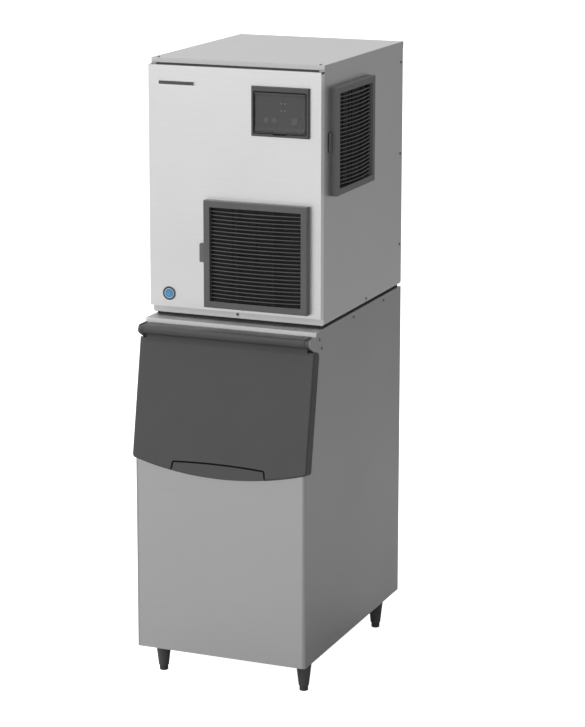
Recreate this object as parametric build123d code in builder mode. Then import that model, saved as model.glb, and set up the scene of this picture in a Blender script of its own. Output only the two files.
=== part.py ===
from build123d import *
from math import asin, cos, degrees, radians, sin, tan
import os

# A modular nugget ice maker standing on its storage bin.
# Millimetres, +Z up. While it is drawn, x = 0 is the cabinet's middle plane, y = 0 the front of
# the maker's body with the back at +y, and z = 0 the floor. The last section moves every piece
# so that the origin is the middle of the whole machine's footprint.

# Cabinet
width = 560.0
head_depth = 675.0
head_height = 782.0
bin_depth = 820.0
bin_height = 1024.0
leg_height = 106.0
gasket_height = 8.0
sheet = 1.2

# Ice maker's casing
pan_wall = 1.5
pan_height = 42.0
pan_reveal = 25.0
pan_corner = 8.0
flange = 15.0
top_lip = 14.0
top_gap = 4.5
rear_lip = 22.0
rear_overhang = 3.0
front_panel_depth = 24.0
front_panel_inset = 0.5
front_hook_gap = 0.3

# Louvres and their filters
front_louvre_width = 336.0
front_louvre_height = 328.0
front_louvre_right = 36.0
front_louvre_rise = 12.0
side_louvre_width = 318.0
side_louvre_height = 326.0
side_louvre_setback = 52.0
side_louvre_drop = 70.0
louvre_stand = 22.0
louvre_border = 20.0
louvre_wall = 3.0
slat_count = 23
slat_depth = 6.4
slat_fall = 2.2
slat_thickness = 1.7
slat_bow = 14.0
slat_back = 10.6
rib_width = 2.4
rib_depth = 3.6
rib_bite = 0.8
rib_spacing = 116.0
filter_thickness = 5.0
filter_gap = 0.4
filter_stand = 1.8
filter_border = 10.0
filter_bar = 3.0
filter_screen = 0.8
tab_reach = 20.0
tab_height = 58.0
intake_margin = 24.0

# Control window
bezel_width = 184.0
bezel_height = 149.0
bezel_right = 36.5
bezel_drop = 48.0
bezel_depth = 9.0
window_width = 164.0
window_height = 122.0
window_rise = 13.0
lid_gap = 1.5
lid_ridge = 12.0
lid_ridge_slope = 3.5
lid_proud = 0.4
lid_recess = 3.0
lid_edge = 5.0
lid_pivot_r = 1.6
lid_pivot_drop = 3.6
latch_width = 40.0
latch_drop = 6.0
running_gap = 0.05
controls_thickness = 3.0
button_r = 8.0
button_square = 19.0
button_proud = 1.5
button_travel = 1.2
button_gap = 0.4
button_row_rise = 36.0
button_offsets = (-46.0, -21.0)
square_offset = 44.0
lamp_r = 2.5
lamp_offset = 8.5
lamp_rise = 40.0
lamp_pitch = 11.0

# Name plate and badge, both bare
plate_width = 117.0
plate_height = 12.5
plate_left = 35.0
plate_drop = 46.0
plate_thickness = 2.0
badge_r = 21.5
badge_left = 64.0
badge_rise = 41.0
badge_thickness = 1.5
badge_edge_r = 0.5

# Ice-making column
column_wall = 90.0
column_y = 330.0
gearbox_width = 130.0
gearbox_height = 90.0
motor_r = 42.0
motor_length = 105.0
housing_r = 45.0
housing_height = 60.0
cylinder_bore = 38.0
cylinder_wall = 4.0
cylinder_height = 290.0
cylinder_flange_r = 52.0
cylinder_flange = 6.0
jacket_r = 60.0
extruder_height = 56.0
extruder_slots = 8
auger_core = 20.0
auger_clearance = 0.5
auger_pitch = 46.0
drive_r = 14.0
spindle_r = 10.0
cutter_height = 24.0
cutter_reach = 42.0
spout_height = 76.0
spout_wall = 2.0

# Ice drop
drop_wall_left = 260.0
drop_width = 150.0
drop_depth = 120.0
drop_wall = 2.0
drop_below = 30.0
drop_clearance = 3.0
paddle_width = 80.0
paddle_length = 70.0
paddle_thickness = 3.0
paddle_stand = 4.0
paddle_pin_r = 2.0
paddle_barrel_r = 3.2
paddle_lug = 8.0

# Refrigeration
condenser_wall_left = 195.0
condenser_wall_right = 50.0
condenser_front = 30.0
condenser_depth = 44.0
condenser_rise = 34.0
condenser_height = 315.0
fin_pitch = 15.0
fin_groove = 5.0
shroud_depth = 30.0
shroud_sheet = 1.5
fan_r = 116.0
fan_clearance = 6.0
fan_hub_r = 25.0
fan_depth = 26.0
fan_blades = 5
blade_pitch = 24.0
fan_shaft_r = 4.0
fan_motor_r = 42.0
fan_motor_length = 60.0
bracket_width = 30.0
compressor_wall = 115.0
compressor_y = 500.0
compressor_r = 88.0
compressor_height = 215.0
base_plate = 200.0
base_plate_thickness = 5.0
grommet_r = 14.0
grommet_height = 19.0
pipe_r = 5.0
pipe_bend = 20.0
drier_r = 20.0
drier_length = 100.0

# Water
tank_width = 128.0
tank_depth = 130.0
tank_height = 110.0
tank_front = 60.0
tank_base = 1530.0
tank_wall = 2.0
tank_lid = 3.0
float_r = 20.0
float_height = 25.0
stem_r = 4.0
hose_r = 7.0
feed_r = 5.0
inlet_wall = 80.0
inlet_z = 1480.0
inlet_thread_r = 10.5
inlet_reach = 19.0
drain_wall = 160.0
drain_z = 1172.0
drain_r = 12.0
drain_reach = 21.0
collar = 4.0
collar_thickness = 3.0
gland_wall = 90.0
gland_z = 1240.0
gland_r = 12.0
gland_bore = 5.0

# Electrical box
box_width = 200.0
box_height = 150.0
box_depth = 50.0
box_front = 12.0
box_wall = 1.5

# Storage bin
bin_corner = 10.0
insulation = 38.0
liner_wall = 3.0
lean = 10.33
slope_start = 713.0
jamb_top = 1040.0
header_setback = 90.0
ear_r = 14.0
ear_setback = 43.5
ear_drop = 25.5
ear_slope = 28.6
ear_block = 14.0
rail_lip = 15.0
rail_setback = 88.0
throat_margin = 45.0
sill = 735.0

# Door
door_overhang = 6.0
door_side = 368.0
door_sag = 40.0
door_return = 41.5
door_skin = 5.0
door_stand = 9.3
door_edge_r = 6.0
door_corner_r = 12.0
door_shoulder_r = 18.0
return_wall = 4.0
bar_gap = 1.2
bar_front = 13.5
bar_back = 39.5
bar_top = 13.0
bar_bottom = 13.5
bar_r = 12.0
pin_r = 5.0
pin_in_door = 14.0
grip_half = 152.0
grip_flare = 8.0
grip_top = 2.0
grip_arch = 5.0
grip_recess = 3.0
core_gap = 2.5
core_depth = 22.0

# Legs and feet
leg_side_inset = 43.5
leg_front_inset = 100.0
leg_rear_inset = 92.0
leg_top_r = 26.0
leg_bottom_r = 16.0
leg_plate_r = 28.0
leg_plate = 3.0
foot_r = 13.5
foot_height = 17.0
foot_stem_r = 6.0
foot_stem = 45.0

# Screws
screw_r = 4.5
screw_head = 2.2
screw_edge = 18.0
side_screw_drops = (64.0, 356.0, 649.0)
pan_screw_forward = 298.0
pan_screw_rise = 14.0
bin_screw_places = ((113.0, 26.0), (131.0, 56.0), (398.0, 15.0), (661.0, 15.0))

# Levels and planes that follow from the sizes above
half = width / 2
bin_floor = leg_height
bin_top = bin_floor + bin_height
head_floor = bin_top + gasket_height
head_top = head_floor + head_height
rear = head_depth
bin_front = rear - bin_depth
pan_floor = head_floor + sheet + pan_wall
panel_bottom = head_floor + pan_reveal
panel_top = head_top - top_lip - top_gap
panel_y = -front_panel_depth
panel_half = half - front_panel_inset
inner_half = half - sheet
inner_rear = rear - sheet
slope = tan(radians(lean))
header_y = bin_front + header_setback
ear_y = bin_front + ear_setback
rail_front = bin_front + rail_setback
door_half = half + door_overhang
column_x = column_wall - half
drop_x = drop_wall_left - half
condenser_left = condenser_wall_left - half
condenser_right = half - condenser_wall_right
compressor_x = half - compressor_wall
inlet_x = inlet_wall - half
drain_x = drain_wall - half
gland_x = half - gland_wall
pivot_y = ear_y
pivot_z = bin_top - ear_drop


def level(z):
    """A horizontal sketch plane at a height."""
    return Plane.XY.offset(z)


def facing_front(y):
    """An upright sketch plane whose extrusions grow forwards."""
    return Plane.XZ.offset(-y)


def facing_right(x):
    """An upright sketch plane, drawn in y and z, whose extrusions grow to the right."""
    return Plane.YZ.offset(x)


def slab(x, y, z, mode=Mode.ADD):
    """A block between two limits on each axis, in the part that is open."""
    with Locations(((x[0] + x[1]) / 2, (y[0] + y[1]) / 2, (z[0] + z[1]) / 2)):
        Box(x[1] - x[0], y[1] - y[0], z[1] - z[0], mode=mode)


def jamb_y(z):
    """How far back the bin's sloping front edge is at a height."""
    return bin_front + (z - slope_start) * slope


# Ice maker's base pan: a folded tray that closes the cabinet underneath
with BuildPart() as head_base_pan:
    with BuildSketch(facing_front(0)):
        with Locations((0, head_floor + sheet + pan_height / 2)):
            tray = Rectangle(2 * inner_half, pan_height)
        fillet(tray.vertices().sort_by(Axis.Y)[:2], radius=pan_corner - sheet)
    extrude(amount=-inner_rear)
    slab((pan_wall - inner_half, inner_half - pan_wall), (pan_wall, inner_rear - pan_wall),
         (pan_floor, head_top), Mode.SUBTRACT)
    with Locations((drop_x, column_y, pan_floor)):
        Box(drop_width + 2 * drop_clearance, drop_depth + 2 * drop_clearance, 4 * pan_wall,
            mode=Mode.SUBTRACT)
    with Locations(facing_front(inner_rear)):
        with Locations((drain_x, drain_z)):
            Hole(drain_r, depth=2 * pan_wall)


def head_side_panel(side):
    """One side of the cabinet: a sheet with a curled lower edge and folded front and back edges."""
    with BuildPart() as panel:
        with BuildSketch(facing_front(0)):
            with Locations((0, (head_floor + head_top - sheet) / 2)):
                outline = Rectangle(width, head_height - sheet)
            fillet(outline.vertices().sort_by(Axis.Y)[:2], radius=pan_corner)
            with BuildSketch(mode=Mode.SUBTRACT):
                with Locations((0, head_floor + sheet + head_height / 2)):
                    hollow = Rectangle(2 * inner_half, head_height)
                fillet(hollow.vertices().sort_by(Axis.Y)[:2], radius=pan_corner - sheet)
        extrude(amount=-rear)
        reach = sorted((side * (half - pan_corner), side * width))
        slab(reach, (-1, rear + 1), (0, 2 * head_top), Mode.INTERSECT)
        fold = sorted((side * inner_half, side * (inner_half - flange)))
        fold_z = (head_floor + sheet + pan_height, head_top - top_lip - sheet)
        slab(fold, (0, sheet), fold_z)
        slab(fold, (inner_rear - sheet, inner_rear), fold_z)
        corner = sorted((side * inner_half, side * width))
        slab(corner, (-1, sheet), (head_top - top_lip, head_top), Mode.SUBTRACT)
    return panel


head_left_panel = head_side_panel(-1)

side_louvre_y = side_louvre_setback + side_louvre_width / 2
side_louvre_z = head_top - side_louvre_drop - side_louvre_height / 2
with BuildPart() as head_right_panel:
    add(head_side_panel(1))
    with Locations((half, side_louvre_y, side_louvre_z)):
        Box(4 * sheet, side_louvre_width - 2 * intake_margin, side_louvre_height - 2 * intake_margin,
            mode=Mode.SUBTRACT)

with BuildPart() as head_top_panel:
    slab((-half, half), (0, rear + rear_overhang), (head_top - sheet, head_top))
    slab((-half, half), (0, sheet), (head_top - top_lip, head_top))
    slab((-half, half), (rear + rear_overhang - sheet, rear + rear_overhang),
         (head_top - rear_lip, head_top))

vent_rows = 9
vent_columns = 3
vent_pitch_x = 110.0
vent_pitch_z = 22.0
vent_length = 90.0
vent_height = 7.0
vent_rise = 560.0
vent_z = head_floor + vent_rise
with BuildPart() as head_rear_panel:
    slab((-inner_half, inner_half), (inner_rear, rear), (head_floor + pan_corner, head_top - sheet))
    with Locations((0, rear, vent_z)):
        with GridLocations(vent_pitch_x, 1, vent_columns, 1):
            with Locations(*[(0, 0, vent_pitch_z * (row - (vent_rows - 1) / 2)) for row in range(vent_rows)]):
                Box(vent_length, 4 * sheet, vent_height, mode=Mode.SUBTRACT)
    with Locations(facing_front(inner_rear)):
        with Locations((drain_x, drain_z)):
            Hole(drain_r, depth=2 * sheet)
        with Locations((inlet_x, inlet_z)):
            Hole(inlet_thread_r, depth=2 * sheet)
        with Locations((gland_x, gland_z)):
            Hole(gland_r, depth=2 * sheet)

# Front panel: a shallow pan with openings behind the louvre and the control window, whose top
# return passes under the top panel's lip and turns up behind it
louvre_x = half - front_louvre_right - front_louvre_width / 2
louvre_z = panel_bottom + front_louvre_rise + front_louvre_height / 2
bezel_x = half - bezel_right - bezel_width / 2
bezel_z = panel_top - bezel_drop - bezel_height / 2
window_x = bezel_x
window_z = bezel_z - bezel_height / 2 + window_rise + window_height / 2
hook_half = inner_half - flange - 1
hook_y = sheet + front_hook_gap
hook_top = head_top - sheet - front_hook_gap
with BuildPart() as head_front_panel:
    slab((-panel_half, panel_half), (panel_y, 0), (panel_bottom, panel_top))
    slab((sheet - panel_half, panel_half - sheet), (panel_y + sheet, 1),
         (panel_bottom + sheet, panel_top + 1), Mode.SUBTRACT)
    slab((sheet - panel_half, panel_half - sheet), (panel_y, 0), (panel_top - sheet, panel_top))
    slab((-hook_half, hook_half), (-sheet, hook_y + sheet), (panel_top - sheet, panel_top))
    slab((-hook_half, hook_half), (hook_y, hook_y + sheet), (panel_top - sheet, hook_top))
    with Locations((louvre_x, panel_y, louvre_z)):
        Box(front_louvre_width - 2 * intake_margin, 4 * sheet, front_louvre_height - 2 * intake_margin,
            mode=Mode.SUBTRACT)
    with Locations((window_x, panel_y, window_z)):
        Box(window_width, 4 * sheet, window_height, mode=Mode.SUBTRACT)


# Louvre: one moulding with a frame, bowed and tilted slats, and two ribs that tie them
def louvre(base, frame_width, frame_height):
    """An intake grille on a plane that touches the panel, drawn about its own centre."""
    opening_width = frame_width - 2 * louvre_border
    opening_height = frame_height - 2 * louvre_border
    chord = opening_width / 2 + 1
    bow_radius = (chord ** 2 + slat_bow ** 2) / (2 * slat_bow)
    half_angle = asin(chord / bow_radius)
    upright = base.y_dir
    centre = base.origin + base.z_dir * (slat_back + slat_bow - bow_radius)
    start = base.z_dir * cos(half_angle) - base.x_dir * sin(half_angle)
    section = Plane(origin=centre, x_dir=start, z_dir=start.cross(upright))
    pitch = opening_height / (slat_count + 1)
    slot = filter_stand - filter_gap
    slot_depth = filter_thickness + 2 * filter_gap
    with BuildPart() as grille:
        with BuildSketch(base):
            Rectangle(frame_width, frame_height)
        extrude(amount=louvre_stand)
        fillet(grille.faces().sort_by(Axis(base.origin, base.z_dir))[-1].edges(), radius=2.5)
        with BuildSketch(base):
            Rectangle(opening_width, opening_height)
        extrude(amount=louvre_stand, mode=Mode.SUBTRACT)
        with BuildSketch(base.offset(slot)):
            Rectangle(frame_width - 2 * louvre_wall, frame_height - 2 * louvre_wall)
            Rectangle(opening_width + 2 * louvre_wall, opening_height + 2 * louvre_wall, mode=Mode.SUBTRACT)
        extrude(amount=louvre_stand - louvre_wall - slot, mode=Mode.SUBTRACT)
        with BuildSketch(base.offset(slot)):
            Rectangle(frame_width - 2 * louvre_wall, frame_height - 2 * louvre_wall)
        extrude(amount=slot_depth, mode=Mode.SUBTRACT)
        slat_there = slat_back + slat_bow * (1 - (rib_spacing / opening_width) ** 2)
        rib_front = slat_there - slat_depth / 2 + rib_bite
        with BuildSketch(base.offset(rib_front - rib_depth)):
            with GridLocations(rib_spacing, 1, 2, 1):
                Rectangle(rib_width, opening_height + louvre_wall)
        extrude(amount=rib_depth)
        for row in range(slat_count):
            low = (row + 1) * pitch - opening_height / 2
            with BuildSketch(section):
                with BuildLine():
                    Polyline((bow_radius - slat_depth / 2, low + slat_fall / 2),
                             (bow_radius + slat_depth / 2, low - slat_fall / 2),
                             (bow_radius + slat_depth / 2, low - slat_fall / 2 + slat_thickness),
                             (bow_radius - slat_depth / 2, low + slat_fall / 2 + slat_thickness),
                             close=True)
                make_face()
            revolve(axis=Axis(centre, upright), revolution_arc=2 * degrees(half_angle))
        with BuildSketch(base.offset(slot)):
            with Locations((-frame_width / 2, 0)):
                Rectangle(4 * louvre_wall, frame_height - 2 * louvre_wall)
        extrude(amount=slot_depth, mode=Mode.SUBTRACT)
    return grille


def air_filter(base, frame_width, frame_height):
    """A flat screen in a ribbed frame, with a pull tab that stands out of the louvre's side."""
    left = -frame_width / 2 + filter_gap
    right = frame_width / 2 - louvre_wall - filter_gap
    tall = frame_height - 2 * louvre_wall - 2 * filter_gap
    wide = right - left
    cells = 4
    cell_width = (wide - 2 * filter_border - (cells - 1) * filter_bar) / cells
    cell_height = (tall - 2 * filter_border - (cells - 1) * filter_bar) / cells
    seat = base.offset(filter_stand)
    with BuildPart() as screen:
        with BuildSketch(seat):
            with Locations(((left + right) / 2, 0)):
                Rectangle(wide, tall)
        extrude(amount=filter_thickness)
        for side in (0, filter_thickness - (filter_thickness - filter_screen) / 2):
            with BuildSketch(seat.offset(side)):
                with Locations(((left + right) / 2, 0)):
                    with GridLocations(cell_width + filter_bar, cell_height + filter_bar, cells, cells):
                        Rectangle(cell_width, cell_height)
            extrude(amount=(filter_thickness - filter_screen) / 2, mode=Mode.SUBTRACT)
        with BuildSketch(seat):
            with Locations((left - tab_reach / 2 + 1, 0)):
                Rectangle(tab_reach + 2, tab_height)
        extrude(amount=filter_thickness)
        tips = screen.edges().filter_by(Axis(base.origin, base.z_dir)).sort_by(Axis(base.origin, base.x_dir))
        fillet(tips[:2], radius=4)
    return screen


front_base = Plane(origin=(louvre_x, panel_y, louvre_z), x_dir=(1, 0, 0), z_dir=(0, -1, 0))
side_base = Plane(origin=(half, side_louvre_y, side_louvre_z), x_dir=(0, 1, 0), z_dir=(1, 0, 0))
front_louvre = louvre(front_base, front_louvre_width, front_louvre_height)
side_louvre = louvre(side_base, side_louvre_width, side_louvre_height)
front_air_filter = air_filter(front_base, front_louvre_width, front_louvre_height)
side_air_filter = air_filter(side_base, side_louvre_width, side_louvre_height)

# Control window: a bezel, a smoked lid hinged along its top, and the controls behind it
bezel_front = panel_y - bezel_depth
lid_half = window_width / 2 - lid_gap
lid_back = bezel_front + lid_edge
lid_front = bezel_front - lid_proud
lid_pane = bezel_front + lid_recess
lid_top = window_z + window_height / 2 - lid_gap
lid_bottom = window_z - window_height / 2 + lid_gap
lid_pivot_y = bezel_front + lid_edge / 2
lid_pivot_z = lid_top - lid_pivot_drop
with BuildPart() as control_bezel:
    with BuildSketch(facing_front(panel_y)):
        with Locations((bezel_x, bezel_z)):
            Rectangle(bezel_width, bezel_height)
    extrude(amount=bezel_depth)
    chamfer(control_bezel.faces().sort_by(Axis.Y)[0].edges(), length=2)
    with BuildSketch(facing_front(panel_y)):
        with Locations((window_x, window_z)):
            Rectangle(window_width, window_height)
    extrude(amount=bezel_depth, mode=Mode.SUBTRACT)
    with Locations((window_x, bezel_front, window_z - window_height / 2)):
        Box(latch_width + 2 * lid_gap, 2 * lid_edge + 2, 2 * (latch_drop + lid_gap), mode=Mode.SUBTRACT)
    with Locations(facing_right(window_x)):
        with Locations((lid_pivot_y, lid_pivot_z)):
            Cylinder(lid_pivot_r + running_gap, window_width + 8, mode=Mode.SUBTRACT)

with BuildPart() as control_lid:
    with BuildSketch(facing_right(window_x - lid_half)):
        with BuildLine():
            Polyline((lid_back, lid_top), (lid_back, lid_bottom), (bezel_front, lid_bottom),
                     (lid_front, lid_bottom + lid_ridge_slope),
                     (lid_front, lid_bottom + lid_ridge - lid_ridge_slope),
                     (lid_pane, lid_bottom + lid_ridge), (lid_pane, lid_top - lid_ridge),
                     (lid_front, lid_top - lid_ridge + lid_ridge_slope),
                     (lid_front, lid_top - lid_ridge_slope), (bezel_front, lid_top), close=True)
        make_face()
    extrude(amount=2 * lid_half)
    slab((window_x - latch_width / 2, window_x + latch_width / 2), (bezel_front, lid_back),
         (lid_bottom - latch_drop, lid_bottom + lid_ridge_slope))
    with Locations(facing_right(window_x)):
        with Locations((lid_pivot_y, lid_pivot_z)):
            Cylinder(lid_pivot_r, window_width + 6)

controls_back = panel_y + sheet
controls_front = controls_back - controls_thickness
button_z = window_z - window_height / 2 + button_row_rise
controls_half = (window_width - 1) / 2
with BuildPart() as control_face:
    slab((window_x - controls_half, window_x + controls_half), (controls_front, controls_back),
         (window_z - (window_height - 1) / 2, window_z + (window_height - 1) / 2))
    slab((window_x - controls_half - 8, window_x + controls_half + 8),
         (controls_back, controls_back + controls_thickness),
         (window_z - window_height / 2 - 8, window_z + window_height / 2 + 8))
    with Locations(facing_front(controls_front)):
        with Locations((window_x + lamp_offset, button_z + lamp_rise)):
            with GridLocations(lamp_pitch, 2 * lamp_pitch, 2, 2):
                Cylinder(lamp_r, 2)
        with Locations(*[(window_x + offset, button_z) for offset in button_offsets]):
            Hole(button_r + button_gap, depth=2 * controls_thickness)
    with Locations((window_x + square_offset, controls_front, button_z)):
        Box(button_square + 2 * button_gap, 4 * controls_thickness, button_square + 2 * button_gap,
            mode=Mode.SUBTRACT)


def round_button(offset):
    """A round push button, seated in the control face."""
    with BuildPart() as button:
        with BuildSketch(facing_front(controls_back + controls_thickness)):
            with Locations((window_x + offset, button_z)):
                Circle(button_r)
        extrude(amount=2 * controls_thickness + button_proud)
        fillet(button.faces().sort_by(Axis.Y)[0].edges(), radius=1)
    return button


start_button = round_button(button_offsets[0])
stop_button = round_button(button_offsets[1])

with BuildPart() as reset_button:
    with BuildSketch(facing_front(controls_back + controls_thickness)):
        with Locations((window_x + square_offset, button_z)):
            RectangleRounded(button_square, button_square, 2)
    extrude(amount=2 * controls_thickness + button_proud)
    chamfer(reset_button.faces().sort_by(Axis.Y)[0].edges(), length=0.8)

# Bare name plate and a plain round badge
with BuildPart() as name_plate:
    with BuildSketch(facing_front(panel_y)):
        with Locations((plate_left - half + plate_width / 2, panel_top - plate_drop - plate_height / 2)):
            RectangleRounded(plate_width, plate_height, 2)
    extrude(amount=plate_thickness)

with BuildPart() as round_badge:
    with BuildSketch(facing_front(panel_y)):
        with Locations((badge_left - half, panel_bottom + badge_rise)):
            Circle(badge_r)
    extrude(amount=badge_thickness)
    fillet(round_badge.faces().sort_by(Axis.Y)[0].edges(), radius=badge_edge_r)

# Ice-making column, from the floor up: gear motor, lower housing, freezing cylinder,
# extruding head, cutter and spout
gearbox_top = pan_floor + gearbox_height
cylinder_base = gearbox_top + housing_height
cylinder_top = cylinder_base + cylinder_height
extruder_top = cylinder_top + extruder_height
with BuildPart() as gear_motor:
    with BuildSketch(level(pan_floor)):
        with Locations((column_x, column_y)):
            RectangleRounded(gearbox_width, gearbox_width, 12)
    extrude(amount=gearbox_height)
    with BuildSketch(facing_front(column_y)):
        with Locations((column_x, pan_floor + motor_r + 3)):
            Circle(motor_r)
    extrude(amount=-(gearbox_width / 2 + motor_length))
    fillet(gear_motor.faces().sort_by(Axis.Y)[-1].edges(), radius=8)
    with Locations((column_x, column_y, gearbox_top)):
        Hole(drive_r + running_gap, depth=gearbox_height / 2)

with BuildPart() as lower_housing:
    with BuildSketch(facing_right(column_x)):
        with BuildLine():
            Polyline((column_y, gearbox_top), (column_y + cylinder_flange_r, gearbox_top),
                     (column_y + cylinder_flange_r, gearbox_top + cylinder_flange),
                     (column_y + housing_r, gearbox_top + cylinder_flange),
                     (column_y + housing_r, cylinder_base - cylinder_flange),
                     (column_y + cylinder_flange_r, cylinder_base - cylinder_flange),
                     (column_y + cylinder_flange_r, cylinder_base), (column_y, cylinder_base), close=True)
        make_face()
    revolve(axis=Axis((column_x, column_y, 0), (0, 0, 1)))
    with BuildSketch(facing_front(column_y)):
        with Locations((column_x, gearbox_top + housing_height / 2)):
            Circle(hose_r)
    extrude(amount=housing_r + 25)
    with Locations((column_x, column_y, cylinder_base)):
        Hole(drive_r + running_gap, depth=housing_height)

with BuildPart() as freezing_cylinder:
    with Locations((column_x, column_y, cylinder_base)):
        Cylinder(cylinder_bore + cylinder_wall, cylinder_height,
                 align=(Align.CENTER, Align.CENTER, Align.MIN))
        Cylinder(cylinder_flange_r, cylinder_flange, align=(Align.CENTER, Align.CENTER, Align.MIN))
    with Locations((column_x, column_y, cylinder_top)):
        Cylinder(cylinder_flange_r, cylinder_flange, align=(Align.CENTER, Align.CENTER, Align.MAX))
        Hole(cylinder_bore, depth=cylinder_height)

with BuildPart() as evaporator_jacket:
    with Locations((column_x, column_y, cylinder_base + cylinder_flange)):
        Cylinder(jacket_r, cylinder_height - 2 * cylinder_flange,
                 align=(Align.CENTER, Align.CENTER, Align.MIN))
        Cylinder(cylinder_bore + cylinder_wall, cylinder_height,
                 align=(Align.CENTER, Align.CENTER, Align.MIN), mode=Mode.SUBTRACT)

flight_r = cylinder_bore - auger_clearance
drive_foot = gearbox_top - gearbox_height / 3
core_foot = cylinder_base + 0.3
core_head = cylinder_top - 0.3
spindle_top = extruder_top + cutter_height
with BuildPart() as auger:
    with BuildSketch(facing_right(column_x)):
        with BuildLine():
            Polyline((column_y, drive_foot), (column_y + drive_r, drive_foot),
                     (column_y + drive_r, core_foot), (column_y + auger_core, core_foot),
                     (column_y + auger_core, core_head), (column_y + spindle_r, core_head),
                     (column_y + spindle_r, spindle_top), (column_y, spindle_top), close=True)
        make_face()
    revolve(axis=Axis((column_x, column_y, 0), (0, 0, 1)))
    with BuildLine(Plane((column_x, column_y, cylinder_base + 12))) as flight_path:
        Helix(pitch=auger_pitch, height=cylinder_height - 24, radius=auger_core - 1)
    with BuildSketch(Plane(origin=flight_path.line @ 0, x_dir=(1, 0, 0), z_dir=flight_path.line % 0)):
        with BuildLine():
            Polyline((0, -3.5), (flight_r - auger_core + 1, -1.2), (flight_r - auger_core + 1, 1.2), (0, 3.5),
                     close=True)
        make_face()
    sweep(path=flight_path.line, is_frenet=True)

with BuildPart() as extruding_head:
    with Locations((column_x, column_y, cylinder_top)):
        Cylinder(cylinder_flange_r - 6, extruder_height, align=(Align.CENTER, Align.CENTER, Align.MIN))
        Cylinder(cylinder_flange_r, cylinder_flange, align=(Align.CENTER, Align.CENTER, Align.MIN))
    with Locations((column_x, column_y, extruder_top)):
        Cylinder(jacket_r, cylinder_flange, align=(Align.CENTER, Align.CENTER, Align.MAX))
        Hole(spindle_r + running_gap, depth=extruder_height)
        with PolarLocations((cylinder_bore + spindle_r) / 2 + 4, extruder_slots):
            Hole(7, depth=extruder_height)

with BuildPart() as ice_cutter:
    with Locations((column_x, column_y, extruder_top + 0.3)):
        Cylinder(18, cutter_height - 0.6, align=(Align.CENTER, Align.CENTER, Align.MIN))
    for turn in (0, 120, 240):
        with BuildSketch(level(extruder_top + 0.3)):
            with Locations(Location((column_x, column_y, 0), (0, 0, turn))):
                with Locations((cutter_reach / 2, 0)):
                    Rectangle(cutter_reach, 12)
        extrude(amount=cutter_height / 2, taper=10)
    with Locations((column_x, column_y, extruder_top + cutter_height)):
        Hole(spindle_r, depth=cutter_height)

drop_left = drop_x - drop_width / 2
drop_right = drop_x + drop_width / 2
drop_front = column_y - drop_depth / 2
drop_back = column_y + drop_depth / 2
with BuildPart() as ice_spout:
    with BuildSketch(level(extruder_top)):
        with Locations((column_x, column_y)):
            Circle(jacket_r)
        with Locations(((column_x + drop_right) / 2, column_y)):
            Rectangle(drop_right - column_x, drop_depth)
    extrude(amount=spout_height)
    with BuildSketch(level(extruder_top + spout_wall)):
        with Locations((column_x, column_y)):
            Circle(jacket_r - spout_wall)
        with Locations(((column_x + drop_right - spout_wall) / 2, column_y)):
            Rectangle(drop_right - spout_wall - column_x, drop_depth - 2 * spout_wall)
    extrude(amount=spout_height - 2 * spout_wall, mode=Mode.SUBTRACT)
    with BuildSketch(level(extruder_top)):
        with Locations((column_x, column_y)):
            Circle(jacket_r - spout_wall)
        with Locations((drop_x, column_y)):
            Rectangle(drop_width - 2 * drop_wall, drop_depth - 2 * drop_wall)
    extrude(amount=spout_wall, mode=Mode.SUBTRACT)

chute_bottom = bin_top - drop_below
with BuildPart() as drop_chute:
    slab((drop_left, drop_right), (drop_front, drop_back), (chute_bottom, extruder_top))
    slab((drop_left + drop_wall, drop_right - drop_wall), (drop_front + drop_wall, drop_back - drop_wall),
         (chute_bottom - 1, extruder_top + 1), Mode.SUBTRACT)
    for side in (-1, 1):
        lug_y = column_y + side * (paddle_width / 2 + 1 + paddle_lug / 2)
        slab((drop_right - drop_wall, drop_right + 2 * paddle_stand),
             (lug_y - paddle_lug / 2, lug_y + paddle_lug / 2), (chute_bottom, chute_bottom + 2 * paddle_lug))
    with Locations(facing_front(column_y)):
        with Locations((drop_right + paddle_stand, chute_bottom + paddle_lug)):
            Cylinder(paddle_pin_r + running_gap, drop_depth, mode=Mode.SUBTRACT)

# Full-bin paddle: it hangs from two lugs at the chute's lower edge
paddle_x = drop_right + paddle_stand
paddle_z = chute_bottom + paddle_lug
with BuildPart() as full_bin_paddle:
    slab((paddle_x - paddle_thickness / 2, paddle_x + paddle_thickness / 2),
         (column_y - paddle_width / 2, column_y + paddle_width / 2), (paddle_z - paddle_length, paddle_z))
    with Locations(facing_front(column_y)):
        with Locations((paddle_x, paddle_z)):
            Cylinder(paddle_barrel_r, paddle_width)
            Cylinder(paddle_pin_r, paddle_width + 2 * paddle_lug)

# Condenser: a finned block between two end plates that stand on the pan
condenser_x = (condenser_left + condenser_right) / 2
condenser_width = condenser_right - condenser_left
condenser_base = pan_floor + condenser_rise
condenser_top = condenser_base + condenser_height
condenser_back = condenser_front + condenser_depth
fin_count = int(condenser_width / fin_pitch)
with BuildPart() as condenser:
    slab((condenser_left, condenser_right), (condenser_front, condenser_back),
         (condenser_base, condenser_top))
    for face_y in (condenser_front, condenser_back):
        with Locations((condenser_x, face_y, (condenser_base + condenser_top) / 2)):
            with GridLocations(fin_pitch, 1, fin_count, 1):
                Box(fin_pitch / 2, 2 * fin_groove, condenser_height, mode=Mode.SUBTRACT)
    slab((condenser_left - 2, condenser_left), (condenser_front, condenser_back), (pan_floor, condenser_top))
    slab((condenser_right, condenser_right + 2), (condenser_front, condenser_back),
         (pan_floor, condenser_top))

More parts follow.
